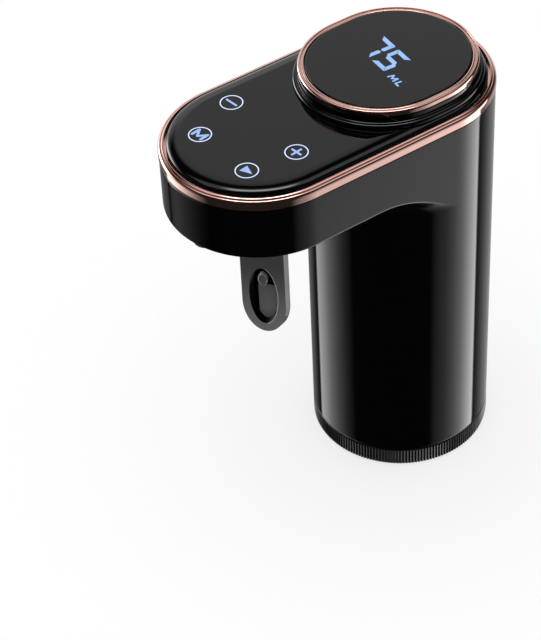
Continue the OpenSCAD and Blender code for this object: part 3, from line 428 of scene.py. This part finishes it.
def reshape(made, operation, points, faces):
    """Join a shape to a piece, or take it away, and keep the result as the piece's mesh."""
    other = bpy.data.objects.new("other", skin_mesh("other", points, faces))
    bpy.context.scene.collection.objects.link(other)
    saw = made.modifiers.new("saw", "BOOLEAN")
    saw.operation, saw.solver, saw.object = operation, "EXACT", other
    sawn = bpy.data.meshes.new_from_object(made.evaluated_get(bpy.context.evaluated_depsgraph_get()))
    made.modifiers.clear()
    made.data = sawn
    bpy.data.objects.remove(other)


def piece(name, points, faces, finish, body="housing", stands_for=(), slot=None, hard=32, join=(), cut=(),
          face_finishes=None):
    """Face finishes are more finishes with a test that numbers them for a face by its middle in mm, from 1 on."""
    made = bpy.data.objects.new(name, skin_mesh(name, points, faces))
    bpy.context.scene.collection.objects.link(made)
    for shape in join:
        reshape(made, "UNION", *shape)
    for shape in cut:
        reshape(made, "DIFFERENCE", *shape)
    mesh = made.data
    mesh.materials.clear()
    mesh.materials.append(finish)
    if face_finishes:
        for other in face_finishes[0]:
            mesh.materials.append(other)
        for face in mesh.polygons:
            face.material_index = int(face_finishes[1](face.center / MM))
    mesh.shade_smooth()
    mesh.set_sharp_from_angle(angle=math.radians(hard))
    made.modifiers.new("flats", "WEIGHTED_NORMAL").keep_sharp = True
    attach(made, body)
    if stands_for:
        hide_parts(*stands_for)
    print(name, "faces:", len(mesh.polygons))
    return made


print("piece builder ready")

# %% [markdown]
# The head, its trim, the panel and the display are all slots: two half circles joined by straight sides.
# A profile drawn as (distance from the middle line, height) is swept round such a slot.
# A lathe can't do this because of the straight sides, and a curve bevel gives less control over the rows.


# %% Slot sweep
def ring_faces(columns, rows, bands):
    """Faces between columns of points that stand in a ring, with so many bands down each column."""
    return [(i * rows + k, (i + 1) % columns * rows + k, (i + 1) % columns * rows + (k + 1) % rows,
             i * rows + (k + 1) % rows) for i in range(columns) for k in range(bands)]


def slot_outline(reach, shift, arc=72, straight=8):
    """Points on the middle line of a slot with the outward direction at each."""
    rear, front = -shift, -shift - reach
    turns = [i / arc * math.pi for i in range(arc)]
    run = [i / straight for i in range(straight)]
    return ([(front + (rear - front) * t, 1, 0) for t in run]
            + [(rear, math.cos(a), math.sin(a)) for a in turns]
            + [(rear + (front - rear) * t, -1, 0) for t in run]
            + [(front, -math.cos(a), -math.sin(a)) for a in turns])


def slot_sweep(profile, reach, shift=0.0):
    """Closed shell from a profile that is closed, or that starts and ends on the middle line."""
    outline, rows = slot_outline(reach, shift), len(profile)
    points = [(r * x, y + r * n, z) for y, x, n in outline for r, z in profile]
    return points, ring_faces(len(outline), rows, rows if profile[0][0] > 0 else rows - 1)


def node_mm(name):
    """Lowest and highest corner of a CAD node in mm."""
    return tuple(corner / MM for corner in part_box(name))


head_low, head_high = node_mm("head_shell")
tower_r = head_high.x
head_reach = -head_low.y - tower_r
print("tower radius:", round(tower_r, 2), "head reach:", round(head_reach, 2))

# %% [markdown]
# ## Housing
# Tower and head read as one black moulding, with an arch where the head leaves the tower.
# Two solids and a boolean would give that shape, but the fillets between them would come out rough.
# Here it is built in columns round the tower's axis: each column runs down the head's wall, round the
# soft lower edge, along the underside, through the arch, and down the tower. Rows are spaced by how much
# the line bends, so the arch gets most of them. The wall's upper edge is eased, where the trim ring sits.

# %% Housing line
underside, seam = node_mm("spout_nut")[1].z, head_low.z
arch = underside - seam
tower_foot = node_mm("tower_shell")[0].z
skin, foot_round, below_arch, top_ease, ease_soft = 2.0, 0.6, 1.5, 0.5, 0.03
edge_least, edge_more, edge_grows = 0.35, 0.35, 1.5
mm_a_row, rows_a_radian, arch_rows, samples = 5, 10, 24, 240


def reach_at(angle, radius):
    """Distance from the tower's axis to a slot of that radius, in one direction."""
    across, along = math.cos(angle), math.sin(angle)
    if along >= 0:
        return radius
    if abs(across) * head_reach <= radius * -along:
        return head_reach * -along + math.sqrt(radius ** 2 - (head_reach * across) ** 2)
    return radius / abs(across)


def under_head(s, out, flat, bent):
    """(distance, height) after a way s inward from the wall's foot: flat, then the arch, then the tower."""
    if s < flat:
        return out - s, underside
    if s <= flat + arch * bent:
        turn = bent - (s - flat) / arch
        return tower_r + arch - arch * math.cos(turn), seam + arch * math.sin(turn)
    return tower_r, seam - (s - flat - arch * bent)


def bend(centre_r, centre_z, radius, start, end, steps=8, tall=None):
    """Points of an arc in a profile, from one angle to another in degrees; an oval one if tall is given.

    Angles start at outward and turn up.
    """
    angles = [math.radians(start + (end - start) * i / steps) for i in range(steps + 1)]
    return [(centre_r + radius * math.cos(a), centre_z + (tall or radius) * math.sin(a)) for a in angles]


def soft_corner(start, corner, end, steps=6):
    """Curve from start to end that is drawn towards a corner."""
    return [tuple((1 - t) ** 2 * a + 2 * t * (1 - t) * b + t * t * c for a, b, c in zip(start, corner, end))
            for t in (i / steps for i in range(steps + 1))]


print("arch radius:", round(arch, 2), "underside at:", round(underside, 2))


# %% Housing columns
def column(angle):
    """Closed line of (distance, height) points through the housing's wall in one direction."""
    out, inner = reach_at(angle, tower_r), reach_at(angle, tower_r - skin)
    flat = max(0.0, out - tower_r - arch)
    bent = math.acos(min(1.0, max(0.0, tower_r + arch - out) / arch))
    under = lambda s: under_head(s, out, flat, bent)
    length = flat + arch * bent + below_arch
    edge = edge_least + edge_more * min(1.0, (out - tower_r) / edge_grows)
    corner, top = under(0.0), head_high.z
    start = (corner[0], corner[1] + edge)
    wall_top = top - top_ease - 0.05
    wall = [(out - top_ease, top), (out - ease_soft, top - top_ease + ease_soft)]
    wall += [(out, wall_top + (start[1] - wall_top) * t) for t in (0, 0.05, 0.3, 0.6, 0.85)]
    run = [edge + (length - edge) * (i / samples) for i in range(samples + 1)]
    effort = [s / mm_a_row + rows_a_radian * min(bent, max(0.0, (s - flat) / arch)) for s in run]
    picks = np.interp(np.linspace(effort[0], effort[-1], arch_rows)[1:], effort, run)
    low = under(length)[1]
    tower = [(tower_r, low + (tower_foot + foot_round - low) * t) for t in (0.25, 0.5, 0.75, 0.97)]
    foot = bend(tower_r - foot_round, tower_foot + foot_round, foot_round, 0, -90, 5)
    inside = [(tower_r - skin, tower_foot), (tower_r - skin, underside + skin), (inner, underside + skin),
              (inner, top)]
    return (wall + soft_corner(start, corner, under(edge)) + [under(s) for s in picks] + tower + foot
            + inside)


corner_turn = math.atan2(head_reach, tower_r)
half_turns = [i / 72 * math.pi for i in range(72)]
front_turns = [math.atan2(-head_reach - tower_r * math.sin(a), -tower_r * math.cos(a)) % (2 * math.pi)
               for a in half_turns]
side_turns = [corner_turn * i / 24 for i in range(24)]
turns = (half_turns + [math.pi + t for t in side_turns] + front_turns
         + [2 * math.pi - corner_turn + t for t in side_turns])
columns = [column(t) for t in turns]
print("housing columns:", len(columns), "rows:", len(columns[0]))

# %% [markdown]
# The floor of the head is open for the paddle and the spout, and the rear wall for the charging socket.
# These openings are cut with one exact boolean, after the columns are joined to a closed skin.
# The paddle is turned to one side, so its slot is drawn in its own axes, taken from its hinge: across,
# behind its front face, and up.

# %% Paddle axes
hinge = next(joint for joint in frame["joints"] if joint["name"] == "paddle_hinge")
pin, across = Vector(hinge["pos_m"]) / MM, Vector(hinge["axis"])
outward = Vector((across.y, -across.x, 0))
paddle_points = [vertex.co / MM - pin for vertex in nodes["dispense_paddle"].data.vertices]
front = max(point.dot(outward) for point in paddle_points if point.z + pin.z < underside)
half_w = max(point.dot(across) for point in paddle_points)


def on_paddle(x, depth, z):
    """Place in mm of a point given in the paddle's own axes."""
    return tuple(Vector((pin.x, pin.y, z)) + x * across + (front - depth) * outward)


slot_side, slot_before, slot_behind = half_w + 0.4, -0.5, 3.2
slot_corners = [(-slot_side, slot_before), (slot_side, slot_before), (slot_side, slot_behind),
                (-slot_side, slot_behind)]
print("paddle front before pin:", round(front, 2), "half width:", round(half_w, 2))


# %% Cutting shapes
def prism(outline, start, end):
    """Closed prism between two copies of an outline, each lifted by a function of its points."""
    count = len(outline)
    points = [start(p) for p in outline] + [end(p) for p in outline]
    faces = [tuple(range(count)), tuple(range(2 * count - 1, count - 1, -1))]
    return points, faces + [(i, (i + 1) % count, count + (i + 1) % count, count + i) for i in range(count)]


def together(*shapes):
    """Several point and face lists as one."""
    points, faces = [], []
    for more, sides in shapes:
        faces += [tuple(i + len(points) for i in side) for side in sides]
        points += more
    return points, faces


def oval_outline(half_x, half_y, x=0.0, y=0.0, steps=48):
    """Points of an oval round its middle."""
    angles = [2 * math.pi * i / steps for i in range(steps)]
    return [(x + half_x * math.cos(a), y + half_y * math.sin(a)) for a in angles]


def circle(radius, x=0.0, y=0.0, steps=48):
    """Points of a circle round its middle."""
    return oval_outline(radius, radius, x, y, steps)


print("cutting shapes ready")

# %% Housing skin
rows = len(columns[0])
skin_points = [(r * math.cos(t), r * math.sin(t), z) for t, line in zip(turns, columns) for r, z in line]
spout_y, spout_hole_r = sum(corner.y for corner in node_mm("spout_nut")) / 2, 3.05
usb_low, usb_high = node_mm("usb_socket")
usb_room = 0.1
usb_half = (usb_high.z - usb_low.z) / 2 + usb_room
usb_wide, usb_z = usb_high.x + usb_room - usb_half, usb_low.z + usb_half - usb_room
usb_outline = [(side * usb_wide + usb_half * math.cos(a), usb_z + usb_half * math.sin(a))
               for side, first in ((1, -90), (-1, 90))
               for a in (math.radians(first + 180 * i / 12) for i in range(13))]
cut_low, cut_high = underside - 1, underside + skin + 1
openings = together(
    prism(slot_corners, lambda p: on_paddle(*p, cut_low), lambda p: on_paddle(*p, cut_high)),
    prism(circle(spout_hole_r, 0, spout_y), lambda p: (*p, cut_low), lambda p: (*p, cut_high)),
    prism(usb_outline, lambda p: (p[0], tower_r - skin - 1, p[1]), lambda p: (p[0], tower_r + 1, p[1])))
piece("housing_shell", skin_points, ring_faces(len(turns), rows, rows), black_gloss,
      stands_for=("tower_shell", "head_shell"), slot="black_gloss", cut=(openings,))

# %% [markdown]
# ## Trim ring
# A plated ring runs round the top of the head. Its outer face ends in a round roll, and a fine groove sets
# off an inner lip that leans towards the panel. Bright lines come from such round stretches, so the ring
# is a swept profile and not a bevelled band. It follows the line from the outside in, then closes under
# the panel with the ledge on which the panel rests. A short skirt laps over the eased edge of the wall.

# %% Trim ring
trim_low, trim_high = node_mm("head_trim_ring")
trim_out, trim_base = trim_high.x, trim_low.z
skirt, skirt_t, skirt_soft = 0.2, 0.14, 0.04
roll_w, roll_tall, roll_z = 0.72, 0.85, trim_base + 1.25
groove_out, groove_in, groove_z = trim_out - 0.7, trim_out - 0.82, trim_base + 1.9
lip_round, lip_soft, lip_in = 1.0, 0.1, trim_out - 1.44
ledge_in, ledge_z = trim_out - 3.2, trim_base + 1.0
trim_line = ([(trim_out - skirt_t, trim_base - skirt), (trim_out - skirt_soft, trim_base - skirt),
              (trim_out, trim_base - skirt + skirt_soft)]
             + bend(trim_out - roll_w, roll_z, roll_w, 0, 84, 14, roll_tall)
             + [(groove_out, groove_z), (groove_in, groove_z)]
             + bend(trim_out - 1.5, trim_base + 1.45, lip_round, 50, 72, 5)
             + bend(trim_out - 1.24, trim_base + 2.3, lip_soft, 80, 180, 5)
             + [(lip_in, ledge_z), (ledge_in, ledge_z), (ledge_in, trim_base),
                (trim_out - skirt_t, trim_base)])
piece("head_trim", *slot_sweep(trim_line, head_reach), rose_gold, stands_for=("head_trim_ring",),
      slot="rose_gold")

# %% [markdown]
# ## Touch panel
# The panel is one glossy plate with a wide round edge that drops just inside the ring. Real ones are
# moulded with the print on the back. A row close to the edge keeps the flat top truly flat for the mirror
# image.

# %% Touch panel
panel_low, panel_high = node_mm("touch_panel")
panel_r, panel_top, panel_round, panel_drop, flat_row = panel_high.x, panel_high.z, 3.6, 1.45, 0.3
panel_line = ([(0, panel_low.z), (panel_r, panel_low.z)]
              + bend(panel_r - panel_round, panel_top - panel_drop, panel_round, 0, 90, 24, panel_drop)
              + [(panel_r - panel_round - flat_row, panel_top), (panel_r * 0.5, panel_top), (0, panel_top)])
piece("touch_plate", *slot_sweep(panel_line, head_reach), panel_gloss, stands_for=("touch_panel",),
      slot="panel_gloss")

# %% [markdown]
# ## Display
# The display is a small slot on the rear of the panel: a black bead, a plated ring, and a dark lens.
# All three could be turned from one block, but each is a part of its own, so each gets its own profile.
# They share the middle line, which is measured from the CAD lens.

# %% Display bead
lens_low, lens_high = node_mm("display_lens")
bead_low, bead_high = node_mm("display_base")
hoop_low, hoop_high = node_mm("display_trim_ring")
lens_r, hoop_r, bead_r = lens_high.x, hoop_high.x, bead_high.x
lens_reach = lens_high.y - lens_low.y - 2 * lens_r
lens_shift = lens_r - lens_high.y
flange_round, flange_soft, neck_round, bead_in = 0.7, 0.06, 0.3, lens_r - 1
neck_r, bead_foot, bead_top = hoop_r + 0.05, bead_low.z, bead_high.z
bead_line = ([(bead_in, bead_foot), (bead_r - flange_soft, bead_foot), (bead_r, bead_foot + flange_soft)]
             + bend(bead_r - flange_round, bead_foot + 0.32, flange_round, 0, 90, 12)
             + [(neck_r + 0.16, bead_foot + 1.03), (neck_r + 0.04, bead_foot + 1.1),
                (neck_r, bead_foot + 1.25)]
             + bend(neck_r - neck_round, bead_top - neck_round, neck_round, 0, 90, 5)
             + [(bead_in, bead_top)])
piece("display_bead", *slot_sweep(bead_line, lens_reach, lens_shift), black_gloss,
      stands_for=("display_base",), slot="black_gloss")

# %% Display hoop and lens
hoop_top, step_z = hoop_high.z, hoop_high.z - 0.32
hoop_soft, hoop_round, hoop_tall, hoop_lip = 0.1, 0.5, 0.55, 0.36
hoop_line = ([(hoop_r - hoop_soft, hoop_low.z), (hoop_r, hoop_low.z + hoop_soft)]
             + bend(hoop_r - hoop_round, hoop_top - hoop_tall, hoop_round, 0, 100, 9, hoop_tall)
             + [(hoop_r - 0.66, hoop_top - 0.1), (hoop_r - 0.7, step_z), (hoop_r - 0.86, step_z),
                (hoop_r - 0.92, hoop_top - 0.16)]
             + bend(hoop_r - 1.28, hoop_top - 0.4, hoop_lip, 40, 140, 7) + [(lens_r + 0.05, hoop_low.z)])
piece("display_hoop", *slot_sweep(hoop_line, lens_reach, lens_shift), rose_gold,
      stands_for=("display_trim_ring",), slot="rose_gold")
lens_top, lens_round = lens_high.z - 0.04, 0.25
lens_line = ([(0, lens_low.z), (lens_r, lens_low.z)]
             + bend(lens_r - lens_round, lens_top - lens_round, lens_round, 0, 90, 5)
             + [(lens_r - 0.5, lens_top), (lens_r * 0.5, lens_top), (0, lens_top)])
piece("display_window", *slot_sweep(lens_line, lens_reach, lens_shift), lens_dark,
      stands_for=("display_lens",), slot="lens_dark")

# %% [markdown]
# ## Lit marks
# The keys show a minus, an M, a play sign and a plus, each in a thin ring. The display shows two numerals
# built from seven bars, and the unit. They could be a picture on the panel, but thin raised plates stay
# sharp at any distance and keep their own light. Each mark is drawn as flat outlines about its own middle.


# %% Mark tools
def plates(outlines, low, high):
    """Thin plates from flat outlines, between two heights."""
    return together(*[prism(o, lambda p: (*p, low), lambda p: (*p, high)) for o in outlines])


def placed(outlines, x, y, turn):
    """Outlines turned by an angle in degrees and moved to their place."""
    c, s = math.cos(math.radians(turn)), math.sin(math.radians(turn))
    return [[(x + c * u - s * v, y + s * u + c * v) for u, v in o] for o in outlines]


def stroke(x0, y0, x1, y1, width):
    """Bar with round ends."""
    lean = math.atan2(y1 - y0, x1 - x0)
    ends = [(x1, y1, lean - math.pi / 2), (x0, y0, lean + math.pi / 2)]
    return [(x + width / 2 * math.cos(a + math.pi * i / 6), y + width / 2 * math.sin(a + math.pi * i / 6))
            for x, y, a in ends for i in range(7)]


def hoop(radius, width, steps=64):
    """Thin flat ring as short plates."""
    out, inner = circle(radius, steps=steps), circle(radius - width, steps=steps)
    return [[out[i], out[(i + 1) % steps], inner[(i + 1) % steps], inner[i]] for i in range(steps)]


print("mark tools ready")

# %% Key marks
key_low, key_high, key_turn = panel_top - 0.02, panel_top + 0.025, 7
key_r, key_ring_w, key_room = 2.65, 0.24, 0.4
key_marks = {
    "minus": (-12.63, -37.13, [stroke(-1.55, 0, 1.55, 0, 0.54)]),
    "plus": (10.74, -36.06, [stroke(-1.3, 0, 1.3, 0, 0.56), stroke(0, -1.3, 0, 1.3, 0.56)]),
    "mode": (-7.35, -49.13, [stroke(-1.4, -1.05, -1.4, 1.05, 0.68), stroke(-1.4, 1.05, 0.0, -0.8, 0.6),
                             stroke(0.0, -0.8, 1.4, 1.05, 0.6), stroke(1.4, 1.05, 1.4, -1.05, 0.68)]),
    "play": (9.34, -48.2, [[(-1.15, -1.15), (1.75, 0.0), (-1.15, 1.15)]]),
}
for name, (x, y, signs) in key_marks.items():
    outlines = placed(hoop(key_r, key_ring_w) + signs, x, y, key_turn)
    on_ring = lambda centre: math.hypot(centre.x - x, centre.y - y) > key_r - key_room
    piece("key_" + name, *plates(outlines, key_low, key_high), lit_signs, face_finishes=([lit_rings], on_ring))

# %% Numerals
digit_w, digit_h, bar, gap = 5.0, 7.25, 1.1, 0.1
half_h = digit_h / 2
bars = {
    "top": [(gap, digit_h), (digit_w - gap, digit_h), (digit_w - bar, digit_h - bar), (bar, digit_h - bar)],
    "upper_right": [(digit_w, digit_h - gap), (digit_w, half_h + bar / 2),
                    (digit_w - bar / 2, half_h + gap), (digit_w - bar, half_h + bar / 2),
                    (digit_w - bar, digit_h - bar - gap)],
    "middle": [(bar / 2 + gap, half_h), (bar, half_h + bar / 2), (digit_w - bar, half_h + bar / 2),
               (digit_w - bar / 2 - gap, half_h), (digit_w - bar, half_h - bar / 2),
               (bar, half_h - bar / 2)],
}
bars["bottom"] = [(x, digit_h - y) for x, y in bars["top"]]
bars["lower_right"] = [(x, digit_h - y) for x, y in bars["upper_right"]]
bars["upper_left"] = [(digit_w - x, y) for x, y in bars["upper_right"]]
seven = [bars[b] for b in ("top", "upper_right", "lower_right")]
five = [bars[b] for b in ("top", "upper_left", "middle", "lower_right", "bottom")]
unit_w = 0.42
unit_lines = [(0, 0, 0.35, 1.4), (0.35, 1.4, 1.05, 0.3), (1.05, 0.3, 1.9, 1.4), (1.9, 1.4, 2.05, 0),
              (3.1, 1.4, 3.0, 0), (3.0, 0, 4.1, 0)]
unit = [stroke(*line, unit_w) for line in unit_lines]
mark_low, mark_high, mark_turn = lens_top - 0.02, lens_top + 0.03, -4.5
marks = {"numeral_tens": (seven, -7.75, -5.9), "numeral_units": (five, -1.5, -6.4),
         "unit_mark": (unit, 5.7, -7.3)}
for name, (outlines, x, y) in marks.items():
    piece(name, *plates(placed(outlines, x, y, mark_turn), mark_low, mark_high), lit_numerals)

# %% [markdown]
# ## Paddle
# The paddle is a smoky tongue that hangs from a pin inside the head, with an oval pocket near its end.
# It could be a box with a boolean for the pocket, but its soft rim would then need a bevel of its own.
# It is built in columns round the pocket's middle: each column starts at the pocket's floor, climbs its
# wall, crosses the front face, rounds the edge, and comes back over the boss behind the pocket.
# The sides lean outward to the back, as a moulding does that has to leave its mould.

# %% Paddle columns
paddle_low, paddle_high = node_mm("dispense_paddle")
low_z, heel_z = paddle_low.z, paddle_high.z
pocket_z, pocket_a, pocket_b, pocket_d = low_z + 11.5, 3.45, 8.45, 2.8
tongue_t, tongue_top, tongue_end, side_lean, boss_d, boss_w = 2.2, underside + 1.0, 9.1, 0.5, 3.7, 0.9
soft, soft_mid, eased, eased_mid = 0.3, 0.08, 0.25, 0.07


def tongue_reach(angle, inset):
    """Distance from the pocket's middle to the tongue's edge, in one direction."""
    c, s = math.cos(angle), math.sin(angle)
    side, end, round_z = half_w - inset, tongue_end - inset, low_z + tongue_end - pocket_z
    a, b = (c / side) ** 2 + (s / end) ** 2, s * round_z / end ** 2
    away = (b + math.sqrt(b * b - a * ((round_z / end) ** 2 - 1))) / a
    if s * away <= round_z:
        return away
    top = (tongue_top - inset - pocket_z) / s if s > 0 else math.inf
    return min(top, side / abs(c) if abs(c) > 1e-6 else math.inf)


def oval_reach(angle, grow):
    """Distance from the pocket's middle to its rim, grown by an even margin."""
    a, b = pocket_a + grow, pocket_b + grow
    return a * b / math.hypot(b * math.cos(angle), a * math.sin(angle))


def tongue_column(angle):
    """(distance, depth) points from the pocket's floor round the edge to the back of the boss."""
    oval = lambda grow: oval_reach(angle, grow)
    edge = lambda inset: tongue_reach(angle, inset)
    floor_line = [(oval(-soft) * share, pocket_d) for share in (0.0, 0.5, 1.0)]
    wall_line = [(oval(-soft_mid), pocket_d - soft_mid), (oval(0), pocket_d - soft), (oval(0), soft)]
    rim_line = [(oval(0.06), 0.1), (oval(eased), 0.0), (oval(2 * eased), 0.0)]
    side_line = [(edge(side_lean + 2 * eased), 0.0), (edge(side_lean + eased), 0.0),
                 (edge(side_lean + 0.06), eased_mid), (edge(side_lean), eased),
                 (edge(0), tongue_t - eased), (edge(eased_mid), tongue_t - eased_mid)]
    back_line = [(edge(eased), tongue_t), (oval(boss_w + soft), tongue_t),
                 (oval(boss_w + eased_mid), tongue_t + soft_mid), (oval(boss_w), tongue_t + soft)]
    boss_line = [(oval(boss_w), boss_d - soft), (oval(boss_w - soft_mid), boss_d - soft_mid),
                 (oval(boss_w - soft), boss_d), (0.0, boss_d)]
    return floor_line + wall_line + rim_line + side_line + back_line + boss_line


corner_angle = math.atan2(tongue_top - pocket_z, half_w)
tongue_turns = sorted([i / 144 * 2 * math.pi for i in range(144)] + [corner_angle, math.pi - corner_angle])
lines = [tongue_column(a) for a in tongue_turns]
rows = len(lines[0])
tongue_points = [on_paddle(r * math.cos(a), d, pocket_z + r * math.sin(a))
                 for a, line in zip(tongue_turns, lines) for r, d in line]
tongue = tongue_points, ring_faces(len(lines), rows, rows - 1)
print("tongue columns:", len(lines), "rows:", rows)

# %% [markdown]
# Above the floor of the head the tongue carries a hub for its pin, and an arm with a heel that presses the
# switch. They are joined to it as one moulding. The pocket's wall and floor are painted dull black as shade,
# and the thin edges at the right are painted paler as a highlight. Separate pieces could do that too, but a
# finish for each face is simpler.


# %% Paddle
def paddle_block(low, high):
    """Box in the paddle's own axes."""
    corners = [(x, y, z) for x in (low[0], high[0]) for y in (low[1], high[1]) for z in (low[2], high[2])]
    sides = [(0, 1, 3, 2), (4, 6, 7, 5), (0, 4, 5, 1), (2, 3, 7, 6), (0, 2, 6, 4), (1, 5, 7, 3)]
    return [on_paddle(*corner) for corner in corners], sides


# Depths and margins of the painted zones: black shade in the pocket, pale highlight on the right edges.
shade_from, shade_room, zone_room = 0.15, 0.1, 0.03
rim_from, rim_share, rim_depth, side_room = 0.6, 1.04, 0.2, 0.2


def paddle_zone(centre):
    """1: pocket wall and floor, painted black as shade; 2: thin edges at the right, painted pale as light through
    them.
    """
    away = centre - pin
    x, depth, up = away.dot(across), front - away.dot(outward), centre.z - pocket_z
    oval = math.hypot(x / (pocket_a + zone_room), up / (pocket_b + zone_room))
    if oval < 1:
        return 1 if shade_from < depth < pocket_d + shade_room else 0
    rim = x > rim_from and depth < rim_depth and oval < rim_share
    side = x > half_w - side_lean - side_room and rim_depth < depth < tongue_t
    return 2 if rim or side else 0


hub_end, hub_r, arm_from, arm_to, arm_t, arm_reach = 2.0, 1.75, -5.0, -1.0, 1.2, 7.2
hub_top, arm_end, web_inset, web_root, shy = pin.z + hub_r, front + arm_reach, 0.05, 0.6, 0.02
hub = prism(circle(hub_r), lambda p: on_paddle(-half_w, front + p[0], pin.z + p[1]),
            lambda p: on_paddle(hub_end, front + p[0], pin.z + p[1]))
web = paddle_block((-half_w, web_inset, tongue_top - web_root),
                   (hub_end - web_inset, tongue_t - web_inset, pin.z))
arm = paddle_block((arm_from, front, hub_top - arm_t), (arm_to, arm_end, hub_top - shy))
heel = paddle_block((arm_from + shy, arm_end - 2 * arm_t, pin.z), (arm_to - shy, arm_end - shy, heel_z))
# The pocket gets painted shade, and the thin right edges get a painted highlight.
paddle = piece("pour_paddle", *tongue, smoked, body="paddle", stands_for=("dispense_paddle",),
               slot="smoked_plastic", join=(hub, web, arm, heel),
               face_finishes=([pocket_painted_shade, painted_edge_highlight], paddle_zone))
paddle.visible_glossy = False

# %% [markdown]
# On the pocket's floor lie a low pad, cut straight at its top and left side, and a small knob whose rim is
# painted pale as a highlight. They could be part of the tongue's columns, but their edges don't follow the
# pocket's oval.
# So they are plates with outlines of their own, which stand on the floor and move with the paddle.


# %% Pocket pad and knob
def on_pocket_floor(name, outline, height, finish, root=0.1):
    """Plate with a given outline that stands on the pocket's floor, with its root in it."""
    plate = prism(outline, lambda p: on_paddle(p[0], pocket_d + root, p[1]),
                  lambda p: on_paddle(p[0], pocket_d - height, p[1]))
    piece(name, *plate, finish, body="paddle").visible_glossy = False


pad_top, pad_left = pocket_z + 1.5, -1.9
pad_a, pad_b = pocket_a - 0.5, pocket_b - 0.12
pad_start, pad_stop = math.asin((pad_top - pocket_z) / pad_b), -math.pi + math.acos(-pad_left / pad_a)
pad_turns = [pad_start + (pad_stop - pad_start) * i / 30 for i in range(31)]
pad_outline = [(pad_a * math.cos(t), pocket_z + pad_b * math.sin(t)) for t in pad_turns]
pad_outline.append((pad_left, pad_top))
on_pocket_floor("pocket_pad", pad_outline, 0.8, smoked)
rim_a, rim_b, knob_a, knob_b = 1.12, 1.85, 0.92, 1.66
knob_x, knob_z = pad_left + rim_a, pad_top + 1.8
rim_outline = oval_outline(rim_a, rim_b, knob_x, knob_z, 40)
knob_outline = oval_outline(knob_a, knob_b, knob_x + 0.08, knob_z - 0.06, 40)
# The knob's rim is painted pale as a highlight.
on_pocket_floor("pocket_knob_highlight_rim", rim_outline, 0.9, painted_edge_highlight)
on_pocket_floor("pocket_knob", knob_outline, 1.0, smoked)

# %% [markdown]
# ## Grip ring
# The ring at the foot is there to be gripped and turned, so it is knurled: fine upright ribs all round.
# A bump map could draw them, but the ribs show in the outline, so they are cut in the mesh.
# Each rib is round like a wave. Its flanks face sideways, so they mirror the strips of light even at the
# front, where the tower above shows black.

# %% Grip ring
grip_low, grip_high = node_mm("grip_ring")
grip_r, grip_ribs, groove_d, rib_steps = grip_high.x, 176, 0.22, 8
grip_ease, grip_ease_z = 0.4, 0.25
grip_bore = min(math.hypot(v.co.x, v.co.y) for v in nodes["grip_ring"].data.vertices) / MM
rib_line = [(k / rib_steps, groove_d * (1 - math.cos(2 * math.pi * k / rib_steps)) / 2)
            for k in range(-rib_steps // 2, rib_steps // 2)]
grip_rows = [(grip_ease, grip_low.z), (0, grip_low.z + grip_ease_z), (0, grip_high.z - grip_ease_z),
             (grip_ease, grip_high.z)]
grip_points = []
for rib in range(grip_ribs):
    for place, sunk in rib_line:
        angle = 2 * math.pi * (rib + place) / grip_ribs
        line = [(grip_r - max(sunk, eased), z) for eased, z in grip_rows]
        line += [(grip_bore, grip_high.z), (grip_bore, grip_low.z)]
        grip_points += [(r * math.cos(angle), r * math.sin(angle), z) for r, z in line]
rows = len(grip_rows) + 2
grip_faces = ring_faces(grip_ribs * rib_steps, rows, rows)
bodies = frame["record"]["behaviour"]["bodies"]
grip_body = next(body for body, names in bodies.items() if "grip_ring" in names)
piece("grip_knurl", grip_points, grip_faces, knurl_black, body=grip_body, stands_for=("grip_ring",),
      slot="black_matte")

# %% [markdown]
# ## Inner pieces
# The pieces inside keep their CAD meshes. They show when the part is opened up or seen from below, so each
# gets a finish of its own kind: moulded plastic, rubber, steel, brass, circuit board, cell wrap or lead.
# Each finish could be a tree of its own, but the recipe for moulded pieces covers them all. A line gives
# two colours, gloss, grain and bump, then for metals how metallic they are, and for steel a drawn grain.

# %% Inner finishes
inner_looks = {
    "black_matte": ((0.008, 0.008, 0.009), (0.016, 0.016, 0.017), 0.42, 0.3, 0.08),
    "black_rubber": (even(0.012), even(0.022), 0.7, 0.2, 0.15),
    "white_rubber": ((0.68, 0.67, 0.64), (0.78, 0.77, 0.74), 0.55, 0.3, 0.08),
    "red_rubber": ((0.30, 0.03, 0.02), (0.42, 0.05, 0.04), 0.55, 0.3, 0.08),
    "white_plastic": ((0.66, 0.64, 0.58), (0.75, 0.73, 0.67), 0.35, 0.4, 0.05),
    "grey_plastic": ((0.085, 0.09, 0.10), (0.11, 0.115, 0.125), 0.4, 0.4, 0.06),
    "black_plastic": ((0.010, 0.010, 0.011), (0.020, 0.020, 0.021), 0.35, 0.4, 0.05),
    "red_plastic": ((0.42, 0.04, 0.02), (0.52, 0.06, 0.04), 0.35, 0.4, 0.05),
    "board_green": ((0.010, 0.065, 0.030), (0.018, 0.10, 0.048), 0.3, 0.8, 0.06),
    "brass_pins": ((0.70, 0.52, 0.22), (0.80, 0.62, 0.30), 0.25, 0.3, 0.03, 1.0),
    "steel": ((0.50, 0.50, 0.51), (0.62, 0.62, 0.63), 0.26, 0.3, 0.04, 1.0, 0.5, (1, 1, 0.12)),
    "cell_blue": ((0.03, 0.12, 0.32), (0.05, 0.17, 0.42), 0.28, 0.6, 0.03),
    "lead_red": ((0.34, 0.02, 0.02), (0.46, 0.04, 0.03), 0.4, 0.3, 0.05),
}
finishes = {name: moulded(name, *look) for name, look in inner_looks.items()}
finishes |= {"black_gloss": black_gloss, "rose_gold": rose_gold, "panel_gloss": panel_gloss,
             "lens_dark": lens_dark, "smoked_plastic": smoked}
for subpart in frame["record"]["subparts"]:
    kept = nodes[subpart["node"]]
    kept.data.materials.clear()
    kept.data.materials.append(finishes[subpart["material_slot"]])
